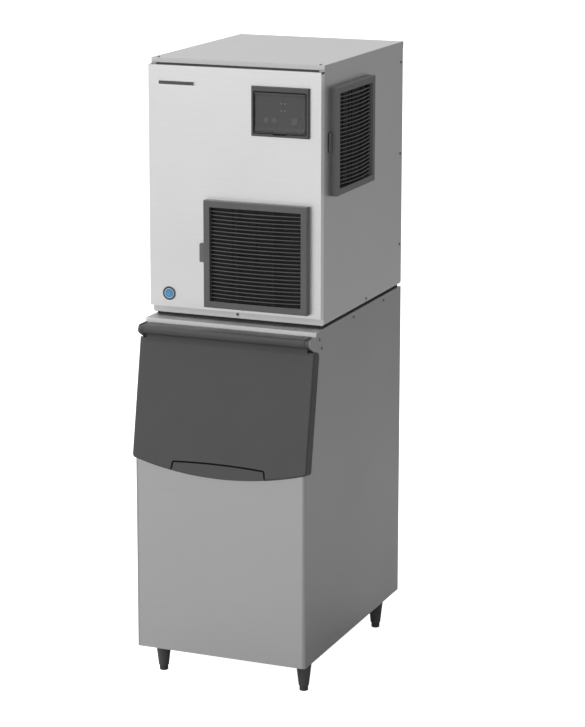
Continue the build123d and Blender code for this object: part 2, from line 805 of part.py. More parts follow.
fan_z = (condenser_base + condenser_top) / 2
shroud_back = condenser_back + shroud_depth
ring_r = fan_r + fan_clearance
with BuildPart() as fan_shroud:
    slab((condenser_left, condenser_right), (condenser_back, shroud_back), (condenser_base, condenser_top))
    slab((condenser_left + shroud_sheet, condenser_right - shroud_sheet),
         (condenser_back - 1, shroud_back - shroud_sheet),
         (condenser_base + shroud_sheet, condenser_top - shroud_sheet), Mode.SUBTRACT)
    with BuildSketch(facing_front(shroud_back - shroud_sheet)):
        with Locations((condenser_x, fan_z)):
            Circle(ring_r + shroud_sheet)
    extrude(amount=-(shroud_sheet + 18))
    with BuildSketch(facing_front(condenser_back)):
        with Locations((condenser_x, fan_z)):
            Circle(ring_r)
    extrude(amount=-2 * shroud_depth, mode=Mode.SUBTRACT)

fan_front = shroud_back - 2
fan_back = fan_front + fan_depth
motor_front = fan_back + 12
motor_back = motor_front + fan_motor_length
with BuildPart() as fan_motor:
    with BuildSketch(facing_front(motor_back)):
        with Locations((condenser_x, fan_z)):
            Circle(fan_motor_r)
    extrude(amount=fan_motor_length)
    fillet(fan_motor.edges().filter_by(GeomType.CIRCLE), radius=6)
    with BuildSketch(facing_front(motor_front)):
        with Locations((condenser_x, fan_z)):
            Circle(fan_shaft_r)
    extrude(amount=fan_depth + 8)

    bracket_half = ring_r + shroud_sheet + 8
    slab((condenser_x - bracket_half, condenser_x + bracket_half), (motor_back, motor_back + 3),
         (fan_z - bracket_width / 2, fan_z + bracket_width / 2))
    for side in (-1, 1):
        outer = condenser_x + side * bracket_half
        slab(sorted((outer, outer - 3 * side)), (shroud_back, motor_back + 3),
             (fan_z - bracket_width / 2, fan_z + bracket_width / 2))

with BuildPart() as fan_blade:
    with BuildSketch(facing_front(fan_back)):
        with Locations((condenser_x, fan_z)):
            Circle(fan_hub_r)
    extrude(amount=fan_depth)
    fillet(fan_blade.edges().filter_by(GeomType.CIRCLE), radius=3)
    for index in range(fan_blades):
        turn = radians(360 / fan_blades * index)
        spoke = Vector(cos(turn), 0, sin(turn))
        across = Vector(-sin(turn), 0, cos(turn))
        normal = Vector(0, -1, 0) * cos(radians(blade_pitch)) + across * sin(radians(blade_pitch))
        centre = (condenser_x, (fan_front + fan_back) / 2, fan_z)
        with BuildSketch(Plane(origin=centre, x_dir=spoke, z_dir=normal).offset(-1)):
            with BuildLine():
                Polyline((fan_hub_r - 4, -18), (fan_r * 0.72, -38), (fan_r * 0.94, -20))
                ThreePointArc((fan_r * 0.94, -20), (fan_r * 0.98, 2), (fan_r * 0.94, 22))
                Polyline((fan_r * 0.94, 22), (fan_hub_r - 4, 16), (fan_hub_r - 4, -18))
            make_face()
        extrude(amount=2)
    with BuildSketch(facing_front(fan_back + 1)):
        with Locations((condenser_x, fan_z)):
            Circle(fan_shaft_r + running_gap)
    extrude(amount=fan_depth + 2, mode=Mode.SUBTRACT)

# Compressor on four rubber grommets
plate_base = pan_floor + grommet_height
pot_base = plate_base + base_plate_thickness
pot_top = pot_base + compressor_height
discharge_z = pot_base + compressor_height * 0.63
suction_y = compressor_y - 50
with BuildPart() as compressor:
    with BuildSketch(level(plate_base)):
        with Locations((compressor_x, compressor_y)):
            RectangleRounded(base_plate, base_plate, 20)
    extrude(amount=base_plate_thickness)
    with Locations((compressor_x, compressor_y, pot_base)):
        Cylinder(compressor_r, compressor_height, align=(Align.CENTER, Align.CENTER, Align.MIN))
    fillet(compressor.faces().sort_by(Axis.Z)[-1].edges(), radius=45)
    with BuildSketch(facing_front(compressor_y)):
        with Locations((compressor_x, discharge_z)):
            Circle(pipe_r + 3)
    extrude(amount=compressor_r + 8)
    with BuildSketch(level(pot_base)):
        with Locations((compressor_x, suction_y)):
            Circle(pipe_r + 3)
    extrude(amount=compressor_height + 20)

grommet_spread = base_plate - 36
with BuildPart() as compressor_grommets:
    with Locations((compressor_x, compressor_y, pan_floor)):
        with GridLocations(grommet_spread, grommet_spread, 2, 2):
            Cylinder(grommet_r, grommet_height, align=(Align.CENTER, Align.CENTER, Align.MIN))

# Refrigerant lines and the filter drier in the liquid line
drier_x = condenser_left - 25
drier_y = column_y - 95
drier_base = condenser_base + 105
drier_top = drier_base + drier_length

def tube(points, radius, bend):
    """A round tube along straight runs joined by bends of one radius."""
    with BuildPart() as run:
        with BuildLine() as route:
            if len(points) > 2:
                FilletPolyline(*points, radius=bend)
            else:
                Line(*points)
        with BuildSketch(Plane(origin=route.line @ 0, z_dir=route.line % 0)):
            Circle(radius)
        sweep(path=route.line)
    return run


condenser_mid = (condenser_front + condenser_back) / 2
line_z = condenser_top + 30
lane_z = cylinder_top - 40
liquid_z = condenser_base + 20
expansion_z = drier_top + 50
discharge_line = [
    (compressor_x, compressor_y - compressor_r - 8, discharge_z), (compressor_x, column_y - 80, discharge_z),
    (compressor_x, column_y - 80, line_z), (compressor_x, condenser_mid, line_z),
    (compressor_x, condenser_mid, condenser_top)]
liquid_line = [
    (condenser_left - 2, condenser_mid, liquid_z), (drier_x, condenser_mid, liquid_z),
    (drier_x, drier_y, liquid_z), (drier_x, drier_y, drier_base)]
expansion_line = [
    (drier_x, drier_y, drier_top), (drier_x, drier_y, expansion_z),
    (column_x, drier_y, expansion_z), (column_x, drier_y + 50, expansion_z)]
suction_line = [
    (column_x, column_y + jacket_r - 4, lane_z), (column_x, suction_y, lane_z),
    (compressor_x, suction_y, lane_z), (compressor_x, suction_y, pot_top + 20)]
with BuildPart() as refrigerant_pipes:
    with Locations((drier_x, drier_y, drier_base)):
        Cylinder(drier_r, drier_length, align=(Align.CENTER, Align.CENTER, Align.MIN))
    fillet(refrigerant_pipes.edges().filter_by(GeomType.CIRCLE), radius=8)
    for line in (discharge_line, liquid_line, expansion_line, suction_line):
        add(tube(line, pipe_r, pipe_bend))
    with Locations((column_x, column_y, cylinder_base)):
        Cylinder(jacket_r, cylinder_height, align=(Align.CENTER, Align.CENTER, Align.MIN), mode=Mode.SUBTRACT)

# Water tank with its float, hung on the left panel
tank_left = -inner_half
tank_right = tank_left + tank_width
tank_back = tank_front + tank_depth
tank_top = tank_base + tank_height
with BuildPart() as water_tank:
    slab((tank_left, tank_right), (tank_front, tank_back), (tank_base, tank_top))
    slab((tank_left + tank_wall, tank_right - tank_wall), (tank_front + tank_wall, tank_back - tank_wall),
         (tank_base + tank_wall, tank_top + 1), Mode.SUBTRACT)

float_x = tank_left + 45
float_y = tank_back - 40
float_base = tank_base + 45
feed_x = tank_left + 13
feed_y = tank_front + 50
with BuildPart() as tank_cover:
    slab((tank_left, tank_right), (tank_front, tank_back), (tank_top, tank_top + tank_lid))
    with Locations((float_x, float_y, tank_top)):
        Cylinder(stem_r, tank_height - 8, align=(Align.CENTER, Align.CENTER, Align.MAX))

with BuildPart() as tank_float:
    with Locations((float_x, float_y, float_base)):
        Cylinder(float_r, float_height, align=(Align.CENTER, Align.CENTER, Align.MIN))
    fillet(tank_float.edges().filter_by(GeomType.CIRCLE), radius=3)
    with Locations((float_x, float_y, float_base + float_height)):
        Hole(stem_r + running_gap, depth=float_height)

with BuildPart() as inlet_valve:
    slab((inlet_x - 18, inlet_x + 18), (inner_rear - 50, inner_rear), (inlet_z - 18, inlet_z + 18))
    with BuildSketch(level(inlet_z + 18)):
        with Locations((inlet_x, inner_rear - 24)):
            Circle(14)
    extrude(amount=34)
    with BuildSketch(facing_front(inner_rear)):
        with Locations((inlet_x, inlet_z)):
            Circle(inlet_thread_r)
            Circle(inlet_thread_r - 3, mode=Mode.SUBTRACT)
    extrude(amount=-(inlet_reach + sheet))
    with BuildSketch(facing_front(rear)):
        with Locations((inlet_x, inlet_z)):
            Circle(inlet_thread_r + collar)
            Circle(inlet_thread_r, mode=Mode.SUBTRACT)
    extrude(amount=-collar_thickness)

nozzle_z = gearbox_top + housing_height / 2
tank_outlet_x = column_x
feed_back = inner_rear - 50
feed_lane_y = column_y + 230
supply_hose = [
    (inlet_x, feed_back, inlet_z), (inlet_x, feed_lane_y, inlet_z), (feed_x, feed_lane_y, inlet_z),
    (feed_x, feed_lane_y, tank_top + 50), (feed_x, feed_y, tank_top + 50),
    (feed_x, feed_y, tank_top + tank_lid)]
feed_hose = [
    (tank_outlet_x, feed_y, tank_base), (tank_outlet_x, feed_y, nozzle_z),
    (tank_outlet_x, column_y - housing_r - 25, nozzle_z)]
with BuildPart() as water_hoses:
    add(tube(supply_hose, feed_r, pipe_bend))
    add(tube(feed_hose, hose_r, pipe_bend))

with BuildPart() as drain_fittings:
    with BuildSketch(facing_front(inner_rear - pan_wall - 12)):
        with Locations((drain_x, drain_z)):
            Circle(drain_r)
    extrude(amount=-(12 + pan_wall + sheet + drain_reach))
    with BuildSketch(facing_front(inner_rear - pan_wall)):
        with Locations((drain_x, drain_z)):
            Circle(drain_r + collar)
    extrude(amount=collar_thickness)
    with BuildSketch(facing_front(rear)):
        with Locations((drain_x, drain_z)):
            Circle(drain_r + collar)
    extrude(amount=-collar_thickness)
    with BuildSketch(facing_front(rear + drain_reach)):
        with Locations((drain_x, drain_z)):
            Circle(drain_r - 2.5)
    extrude(amount=drain_reach + 30, mode=Mode.SUBTRACT)

with BuildPart() as cord_gland:
    with BuildSketch(facing_front(rear)):
        with Locations((gland_x, gland_z)):
            Circle(gland_r + 5)
    extrude(amount=-6)
    with BuildSketch(facing_front(inner_rear - 10)):
        with Locations((gland_x, gland_z)):
            Circle(gland_r)
    extrude(amount=-(10 + sheet + 14))
    with BuildSketch(facing_front(rear + 20)):
        with Locations((gland_x, gland_z)):
            Circle(gland_bore)
    extrude(amount=60, mode=Mode.SUBTRACT)

# Electrical box behind the controls, fixed to the right panel
box_x = inner_half - box_width
box_z = window_z - box_height / 2
with BuildPart() as electrical_box:
    slab((box_x, inner_half), (box_front, box_front + box_depth), (box_z, box_z + box_height))
    slab((box_x + box_wall, inner_half - box_wall), (box_front + box_wall, box_front + box_depth - box_wall),
         (box_z + box_wall, box_z + box_height - box_wall), Mode.SUBTRACT)
    with Locations((box_x + 30, box_front + box_depth / 2, box_z)):
        Hole(9, depth=2 * box_wall)

# Gasket between the maker and the bin
gasket_outset = half - 9
gasket_width = 20.0
with BuildPart() as head_gasket:
    slab((-gasket_outset, gasket_outset), (8, rear - 9), (bin_top, head_floor + sheet))
    slab((gasket_width - gasket_outset, gasket_outset - gasket_width),
         (8 + gasket_width, rear - 9 - gasket_width), (bin_top - 1, head_floor + 2 * sheet), Mode.SUBTRACT)


# Bin side panel: the sheet wraps round the front corner and rises into the door's hinge ear
def ear_outline():
    """The bin's side seen from the right, in y and z, with the ear that carries the door."""
    down = radians(ear_slope)
    tangent = (ear_y - ear_r * sin(down), bin_top - ear_drop - ear_r * cos(down))
    chin_z = tangent[1] - (header_y - tangent[0]) * tan(down)
    with BuildSketch(Plane.XY) as outline:
        with BuildLine():
            Polyline((bin_front, bin_floor), (bin_front, slope_start), (jamb_y(jamb_top), jamb_top),
                     (header_y, jamb_top + 6), (header_y, chin_z), tangent, (ear_y, bin_top - ear_drop),
                     (ear_y, bin_top - ear_drop + ear_r), (rail_front, bin_top - ear_drop + ear_r),
                     (rail_front, bin_top - sheet), (rear, bin_top - sheet), (rear, bin_floor), close=True)
        make_face()
        with Locations((ear_y, bin_top - ear_drop)):
            Circle(ear_r)
    return outline


side_outline = ear_outline()


def bin_side_panel(side):
    """One side of the bin, with the rounded front corner folded from the same sheet."""
    with BuildPart() as panel:
        with BuildSketch(facing_right(-half)):
            add(side_outline.sketch)
        extrude(amount=width)
        with BuildSketch(level(bin_floor)):
            with Locations((0, (bin_front + rear) / 2)):
                plan = Rectangle(width, bin_depth)
            fillet(plan.vertices().sort_by(Axis.Y)[:2], radius=bin_corner)
            with BuildSketch(mode=Mode.SUBTRACT):
                with Locations((0, (bin_front + rear) / 2)):
                    core = Rectangle(2 * inner_half, bin_depth - 2 * sheet)
                fillet(core.vertices().sort_by(Axis.Y)[:2], radius=bin_corner - sheet)
            with Locations((0, rear)):
                Rectangle(2 * inner_half, 4 * sheet, mode=Mode.SUBTRACT)
        extrude(amount=2 * bin_height, mode=Mode.INTERSECT)
        reach = sorted((side * (half - bin_corner), side * width))
        slab(reach, (bin_front - 1, rear + 1), (0, 2 * bin_top), Mode.INTERSECT)
        ear = sorted((side * half, side * (half - sheet)))
        slab(ear, (rail_front, rail_front + 40), (bin_top - 2 * sheet, bin_top - sheet))
    return panel


bin_left_panel = bin_side_panel(-1)
bin_right_panel = bin_side_panel(1)

with BuildPart() as bin_front_panel:
    slab((bin_corner - half, half - bin_corner), (bin_front, bin_front + sheet), (bin_floor, slope_start))
    slab((bin_corner - half, half - bin_corner), (bin_front, bin_front + 20),
         (slope_start - sheet, slope_start))

with BuildPart() as bin_back_panel:
    slab((-inner_half, inner_half), (inner_rear, rear), (bin_floor, bin_top - sheet))
    with BuildSketch(level(bin_floor)):
        with Locations((0, (bin_front + rear) / 2)):
            floor_plan = Rectangle(2 * inner_half, bin_depth - 2 * sheet)
        fillet(floor_plan.vertices().sort_by(Axis.Y)[:2], radius=bin_corner - sheet)
    extrude(amount=sheet)

throat_half = half - throat_margin
throat_front = throat_margin
throat_back = rear - throat_margin
with BuildPart() as bin_top_rail:
    slab((-half, half), (rail_front, rear), (bin_top - sheet, bin_top))
    slab((-inner_half, inner_half), (rail_front, rail_front + sheet), (bin_top - rail_lip, bin_top))
    slab((-throat_half, throat_half), (throat_front, throat_back), (bin_top - 2 * sheet, bin_top + 1),
         Mode.SUBTRACT)

# Liner: a moulded box with a sloping mouth and a frame round it, open under the throat
liner_half = half - insulation
liner_floor = bin_floor + insulation
liner_front = bin_front + insulation
liner_back = rear - insulation
liner_top = bin_top - sheet


def liner_side(wall):
    """The liner's side outline, drawn in y and z, brought in by a wall."""
    with BuildSketch(Plane.XY) as outline:
        with BuildLine():
            Polyline((liner_front + wall, liner_floor + wall), (liner_front + wall, sill - wall),
                     (jamb_y(sill - wall), sill - wall), (jamb_y(jamb_top), jamb_top),
                     (header_y, jamb_top + 6), (header_y, liner_top), (liner_back - wall, liner_top),
                     (liner_back - wall, liner_floor + wall), close=True)
        make_face()
    return outline


with BuildPart() as bin_liner:
    with BuildSketch(facing_right(-liner_half)):
        add(liner_side(0).sketch)
    extrude(amount=2 * liner_half)
    with BuildSketch(facing_right(-inner_half)):
        with BuildLine():
            Polyline((jamb_y(slope_start), slope_start), (jamb_y(slope_start) + 8, slope_start),
                     (jamb_y(sill) + 8, sill - 6), (jamb_y(jamb_top) + 4, jamb_top - 4),
                     (jamb_y(jamb_top), jamb_top), close=True)
        make_face()
    extrude(amount=2 * inner_half)
    slab((liner_wall - liner_half, liner_half - liner_wall), (header_y + liner_wall, liner_back - liner_wall),
         (jamb_top, bin_top), Mode.SUBTRACT)
    with BuildSketch(facing_right(liner_wall - liner_half)):
        with BuildLine():
            Polyline((liner_front + liner_wall, liner_floor + liner_wall), (liner_front + liner_wall, sill),
                     (jamb_y(sill) - 30, sill), (jamb_y(jamb_top - 8) - 30, jamb_top - 8),
                     (header_y + liner_wall, jamb_top - 8), (header_y + liner_wall, jamb_top + 20),
                     (liner_back - liner_wall, jamb_top + 20),
                     (liner_back - liner_wall, liner_floor + liner_wall), close=True)
        make_face()
    extrude(amount=2 * (liner_half - liner_wall), mode=Mode.SUBTRACT)
    with BuildSketch(level(bin_floor)):
        with Locations((0, (bin_front + rear) / 2)):
            inside = Rectangle(2 * inner_half, bin_depth - 2 * sheet)
        fillet(inside.vertices().sort_by(Axis.Y)[:2], radius=bin_corner - sheet)
    extrude(amount=bin_height, mode=Mode.INTERSECT)

# Foamed insulation between the liner and the sheets
with BuildPart() as bin_insulation:
    with BuildSketch(facing_right(-inner_half)):
        with BuildLine():
            Polyline((bin_front + sheet, bin_floor + sheet), (bin_front + sheet, slope_start - sheet),
                     (bin_front + 20, slope_start - sheet), (jamb_y(slope_start) + 20, slope_start),
                     (jamb_y(jamb_top) + 4, jamb_top), (header_y, jamb_top + 6), (header_y, bin_top - sheet),
                     (inner_rear, bin_top - sheet), (inner_rear, bin_floor + sheet), close=True)
        make_face()
    extrude(amount=2 * inner_half)
    corners = bin_insulation.edges().filter_by(Axis.Z).sort_by(Axis.Y)
    fillet(corners[:2], radius=bin_corner - sheet)
    with BuildSketch(facing_right(-liner_half)):
        add(liner_side(0).sketch)
    extrude(amount=2 * liner_half, mode=Mode.SUBTRACT)
    with BuildSketch(facing_right(-inner_half)):
        with BuildLine():
            Polyline((jamb_y(slope_start) - 20, slope_start), (jamb_y(slope_start) + 8, slope_start),
                     (jamb_y(sill) + 8, sill - 6), (jamb_y(jamb_top) + 4, jamb_top - 4),
                     (jamb_y(jamb_top), jamb_top), (jamb_y(jamb_top) - 20, jamb_top), close=True)
        make_face()
    extrude(amount=2 * inner_half, mode=Mode.SUBTRACT)

# Plastic hinge blocks inside the two ears, each with a pin for the door


def hinge_block(side):
    """The plastic block behind one ear, with its pin."""
    inner = half - sheet - ear_block
    with BuildPart() as block:
        with BuildSketch(facing_right(min(side * inner, side * inner_half))):
            add(side_outline.sketch)
        extrude(amount=ear_block)
        slab((-half, half), (ear_y - 2 * ear_r, header_y), (jamb_top + 8, bin_top - rail_lip), Mode.INTERSECT)
        near = side * (bar_half - pin_in_door)
        far = side * inner_half
        with BuildSketch(facing_right(min(near, far))):
            with Locations((pivot_y, pivot_z)):
                Circle(pin_r)
        extrude(amount=abs(far - near))
    return block


bar_half = half - sheet - ear_block - bar_gap
with BuildPart() as hinge_blocks:
    add(hinge_block(-1))
    add(hinge_block(1))

# Door: a moulded shell that leans with the bin's front, its lower edge an arc
jamb_plane = Plane(origin=(0, bin_front, slope_start), x_dir=(1, 0, 0),
                   z_dir=(0, -cos(radians(lean)), sin(radians(lean))))
door_plane = jamb_plane.offset(door_stand)


def door_outline(inset, rise):
    """The door's outline in its own plane, brought in at the sides and the lower edge."""
    side_x = door_half - inset
    with BuildSketch(Plane.XY) as outline:
        with BuildLine():
            Polyline((-side_x, inset), (-side_x, door_side + rise), (side_x, door_side + rise),
                     (side_x, inset))
            ThreePointArc((side_x, inset), (0, inset - door_sag), (-side_x, inset))
        make_face()
        fillet(outline.vertices().sort_by(Axis.Y)[:2], radius=door_corner_r - inset)
    return outline


grip_bottom = -door_sag - 10
with BuildPart() as bin_door:
    with BuildSketch(door_plane):
        add(door_outline(0, 0).sketch)
    extrude(amount=-door_return)
    fillet(bin_door.edges().filter_by(Axis.X).sort_by(Axis.Y)[-1], radius=door_shoulder_r)
    fillet(bin_door.faces().sort_by(Axis((0, 0, 0), door_plane.z_dir))[-1].edges(), radius=door_edge_r)
    with BuildSketch(door_plane.offset(-door_skin)):
        add(door_outline(return_wall, 20).sketch)
    extrude(amount=-2 * door_return, mode=Mode.SUBTRACT)
    inner_door = door_half - return_wall
    slab((-inner_door, inner_door), (bin_front - 1.5, header_y),
         (slope_start - 2 * door_sag, slope_start + 4), Mode.SUBTRACT)
    with BuildSketch(facing_right(-bar_half)):
        with BuildLine():
            Polyline((pivot_y - bar_front, pivot_z - bar_bottom), (pivot_y - bar_front, pivot_z + bar_top),
                     (pivot_y + bar_back, pivot_z + bar_top), (pivot_y + bar_back, pivot_z - bar_bottom),
                     close=True)
        bar = make_face()
        fillet(bar.vertices().sort_by(Axis.X)[:2], radius=bar_r)
    extrude(amount=2 * bar_half)
    with BuildSketch(facing_right(-bar_half)):
        with BuildLine():
            neck_front = pivot_y + 11.5
            Polyline((neck_front, pivot_z - bar_bottom + 2), (pivot_y + bar_back, pivot_z - bar_bottom + 2),
                     (pivot_y + bar_back, pivot_z - 26), (pivot_y + 22, pivot_z - 48),
                     (neck_front, pivot_z - 48), (neck_front, pivot_z - 30), close=True)
        make_face()
    extrude(amount=2 * bar_half)
    with Locations(facing_right(0)):
        with Locations((pivot_y, pivot_z)):
            Cylinder(pin_r + running_gap, 2 * width, mode=Mode.SUBTRACT)
    slab((-bar_half + pin_in_door + 1, bar_half - pin_in_door - 1), (pivot_y - 7, pivot_y + 7),
         (pivot_z - 7, pivot_z + 7))
    with BuildSketch(door_plane.offset(-grip_recess)):
        with BuildLine():
            Polyline((-grip_half, grip_top), (-grip_half - grip_flare, grip_bottom),
                     (grip_half + grip_flare, grip_bottom), (grip_half, grip_top))
            ThreePointArc((grip_half, grip_top), (0, grip_top + grip_arch), (-grip_half, grip_top))
        grip = make_face()
        fillet(grip.vertices().sort_by(Axis.Y)[-2:], radius=9)
    extrude(amount=2 * grip_recess, mode=Mode.SUBTRACT)

# Door's insulating core: it fills the shell and enters the mouth a little
mouth_low = (sill - slope_start) / cos(radians(lean)) + core_gap
mouth_high = (jamb_top - 8 - slope_start) / cos(radians(lean)) - core_gap
core_half = liner_half - liner_wall - core_gap
with BuildPart() as door_core:
    with BuildSketch(door_plane.offset(-door_skin)):
        with Locations((0, (mouth_low + mouth_high) / 2)):
            Rectangle(2 * (core_half + 20), mouth_high - mouth_low + 10)
    extrude(amount=-(door_stand - door_skin - 0.6))
    with BuildSketch(door_plane.offset(-door_skin)):
        with Locations((0, (mouth_low + mouth_high) / 2)):
            RectangleRounded(2 * core_half, mouth_high - mouth_low, 10)
    extrude(amount=-core_depth, taper=4)

# Drain of the bin, out of the back at floor level
bin_drain_z = liner_floor + 12
bin_drain_r = 13.0
with drain_fittings:
    with BuildSketch(facing_front(liner_back - 1)):
        with Locations((0, bin_drain_z)):
            Circle(bin_drain_r)
            Circle(bin_drain_r - 3, mode=Mode.SUBTRACT)
    extrude(amount=-(insulation + 1 + drain_reach))
    with BuildSketch(facing_front(rear)):
        with Locations((0, bin_drain_z)):
            Circle(bin_drain_r + collar)
            Circle(bin_drain_r, mode=Mode.SUBTRACT)
    extrude(amount=-collar_thickness)
for piece in (bin_liner, bin_insulation, bin_back_panel):
    with piece:
        with Locations(facing_front(rear)):
            with Locations((0, bin_drain_z)):
                Cylinder(bin_drain_r, 4 * insulation, mode=Mode.SUBTRACT)

# Four tapered legs with screw feet
leg_places = [
    (side * (half - leg_side_inset), place)
    for place in (bin_front + leg_front_inset, rear - leg_rear_inset)
    for side in (-1, 1)]
with BuildPart() as legs:
    for place in leg_places:
        with Locations((place[0], place[1], bin_floor)):
            Cylinder(leg_plate_r, leg_plate, align=(Align.CENTER, Align.CENTER, Align.MAX))
        with Locations((place[0], place[1], foot_height + 0.3)):
            Cone(leg_bottom_r, leg_top_r, bin_floor - leg_plate - foot_height - 0.3,
                 align=(Align.CENTER, Align.CENTER, Align.MIN))
            Cylinder(foot_stem_r + running_gap, foot_stem + 3, align=(Align.CENTER, Align.CENTER, Align.MIN),
                     mode=Mode.SUBTRACT)


def screw_foot(place):
    """A foot with a threaded stem that turns in the leg."""
    with BuildPart() as foot:
        with Locations((place[0], place[1], 0)):
            Cylinder(foot_r, foot_height, align=(Align.CENTER, Align.CENTER, Align.MIN))
        fillet(foot.faces().sort_by(Axis.Z)[0].edges(), radius=3)
        with Locations((place[0], place[1], foot_height)):
            Cylinder(foot_stem_r, foot_stem, align=(Align.CENTER, Align.CENTER, Align.MIN))
    return foot


feet = [screw_foot(place) for place in leg_places]


def screws(plane, places):
    """Low domed screw heads at places on a plane."""
    with BuildPart() as heads:
        with BuildSketch(plane):
            with Locations(*places):
                Circle(screw_r)
        extrude(amount=screw_head)
        fillet(heads.faces().sort_by(Axis(plane.origin, plane.z_dir))[-len(places):].edges(), radius=1.2)
    return heads


side_screw_y = rear - screw_edge
side_screws = [(side_screw_y, head_top - drop) for drop in side_screw_drops]
side_screws.append((side_screw_y - pan_screw_forward, head_floor + pan_screw_rise))
bin_side_screws = [(bin_front + setback, bin_top - drop) for setback, drop in bin_screw_places]
with BuildPart() as cabinet_screws:
    add(screws(facing_right(half), side_screws + bin_side_screws))
    add(screws(Plane(origin=(-half, 0, 0), x_dir=(0, -1, 0), z_dir=(-1, 0, 0)),
               [(-y, z) for y, z in side_screws + bin_side_screws]))
    add(screws(facing_front(0), [(0, head_floor + 13)]))
    add(screws(level(head_top), [(screw_edge - half, 14), (half - screw_edge, 14)]))

pieces = {
    "head_base_pan": head_base_pan,
    "head_left_panel": head_left_panel,
    "head_right_panel": head_right_panel,
    "head_rear_panel": head_rear_panel,
    "head_top_panel": head_top_panel,
    "head_front_panel": head_front_panel,
    "head_gasket": head_gasket,
    "cabinet_screws": cabinet_screws,
    "front_louvre": front_louvre,
    "front_air_filter": front_air_filter,
    "side_louvre": side_louvre,
    "side_air_filter": side_air_filter,
    "control_bezel": control_bezel,
    "control_lid": control_lid,
    "control_face": control_face,
    "start_button": start_button,
    "stop_button": stop_button,
    "reset_button": reset_button,
    "name_plate": name_plate,
    "round_badge": round_badge,
    "electrical_box": electrical_box,
    "gear_motor": gear_motor,
    "lower_housing": lower_housing,
    "freezing_cylinder": freezing_cylinder,
    "evaporator_jacket": evaporator_jacket,
    "auger": auger,
    "extruding_head": extruding_head,
    "ice_cutter": ice_cutter,
    "ice_spout": ice_spout,
    "drop_chute": drop_chute,
    "full_bin_paddle": full_bin_paddle,
    "condenser": condenser,
    "fan_shroud": fan_shroud,
    "fan_motor": fan_motor,
    "fan_blade": fan_blade,
    "compressor": compressor,
    "compressor_grommets": compressor_grommets,
    "refrigerant_pipes": refrigerant_pipes,
    "water_tank": water_tank,
    "tank_cover": tank_cover,
    "tank_float": tank_float,
    "inlet_valve": inlet_valve,
    "water_hoses": water_hoses,
    "drain_fittings": drain_fittings,
    "cord_gland": cord_gland,
    "bin_front_panel": bin_front_panel,
    "bin_left_panel": bin_left_panel,
    "bin_right_panel": bin_right_panel,
    "bin_back_panel": bin_back_panel,
    "bin_top_rail": bin_top_rail,
    "bin_liner": bin_liner,
    "bin_insulation": bin_insulation,
    "hinge_blocks": hinge_blocks,
    "bin_door": bin_door,
    "door_core": door_core,
    "legs": legs,
}
for number, foot in enumerate(feet, start=1):
    pieces["foot_" + str(number)] = foot

# Origin to the middle of the whole footprint, then one file a piece
limits = [piece.part.bounding_box() for piece in pieces.values()]
whole_x = (min(box.min.X for box in limits) + max(box.max.X for box in limits)) / 2
whole_y = (min(box.min.Y for box in limits) + max(box.max.Y for box in limits)) / 2
whole_z = min(box.min.Z for box in limits)
shift = Location((-whole_x, -whole_y, -whole_z))
os.makedirs("parts", exist_ok=True)
for name, piece in pieces.items():
    solid = piece.part.moved(shift)
    solid.label = name
    export_step(solid, "parts/" + name + ".step")
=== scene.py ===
"""Looks of a floor-standing nugget ice machine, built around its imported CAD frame."""

import logging
import math
from dataclasses import dataclass, replace
from enum import Enum
from typing import ClassVar

import bmesh
import bpy
from mathutils import Matrix, Vector

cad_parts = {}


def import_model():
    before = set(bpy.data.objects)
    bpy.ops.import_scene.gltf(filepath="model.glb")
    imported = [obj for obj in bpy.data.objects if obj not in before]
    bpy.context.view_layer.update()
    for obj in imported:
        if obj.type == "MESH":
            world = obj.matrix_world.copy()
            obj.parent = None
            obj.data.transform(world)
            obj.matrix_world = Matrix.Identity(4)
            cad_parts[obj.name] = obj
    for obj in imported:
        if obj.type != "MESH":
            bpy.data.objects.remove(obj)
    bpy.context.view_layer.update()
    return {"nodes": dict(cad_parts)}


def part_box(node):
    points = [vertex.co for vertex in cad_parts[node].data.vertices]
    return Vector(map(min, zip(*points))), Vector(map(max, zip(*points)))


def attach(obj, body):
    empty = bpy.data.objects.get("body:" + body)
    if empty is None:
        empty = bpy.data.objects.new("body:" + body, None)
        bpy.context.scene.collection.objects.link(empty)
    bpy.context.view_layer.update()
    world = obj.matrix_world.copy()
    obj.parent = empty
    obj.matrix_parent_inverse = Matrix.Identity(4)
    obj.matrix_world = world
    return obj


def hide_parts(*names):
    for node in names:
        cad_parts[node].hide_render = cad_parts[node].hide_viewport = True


logging.basicConfig(level=logging.INFO, format="%(levelname)s %(message)s")
LOG = logging.getLogger("scene")

MM = 0.001
WELD = 1e-6
SHARP = math.radians(35)
PHOTO_WIDTH = 585
PHOTO_HEIGHT = 727
SENSOR_MM = 36.0

Colour = tuple[float, float, float, float]
Triple = tuple[float, float, float]
NodeSocket = bpy.types.NodeSocket
BMesh = bmesh.types.BMesh
BMVert = bmesh.types.BMVert
BMEdge = bmesh.types.BMEdge
BMFace = bmesh.types.BMFace

NOWHERE = (0.0, 0.0, 0.0)
TO_THE_BACK = (0.0, 1.0, 0.0)
TO_THE_LEFT = (-1.0, 0.0, 0.0)
WHITE = (1.0, 1.0, 1.0, 1.0)


class Axis(Enum):
    """Direction that a brushed finish runs in."""

    X = (1.0, 0.0, 0.0)
    Z = (0.0, 0.0, 1.0)


class Socket(Enum):
    """Kinds of socket on a node group."""

    VALUE = "NodeSocketFloat"
    VECTOR = "NodeSocketVector"


def grey(level: float, warmth: float = 0.0) -> Colour:
    """Return a near-neutral colour from a display level.

    Args:
        level: Display grey from 0 to 255.
        warmth: Share by which red is raised and blue is lowered.

    Returns:
        The linear colour with full alpha.
    """
    share = level / 255.0
    linear = share / 12.92 if share <= 0.04045 else ((share + 0.055) / 1.055) ** 2.4
    return (linear * (1.0 + warmth), linear, linear * (1.0 - warmth), 1.0)


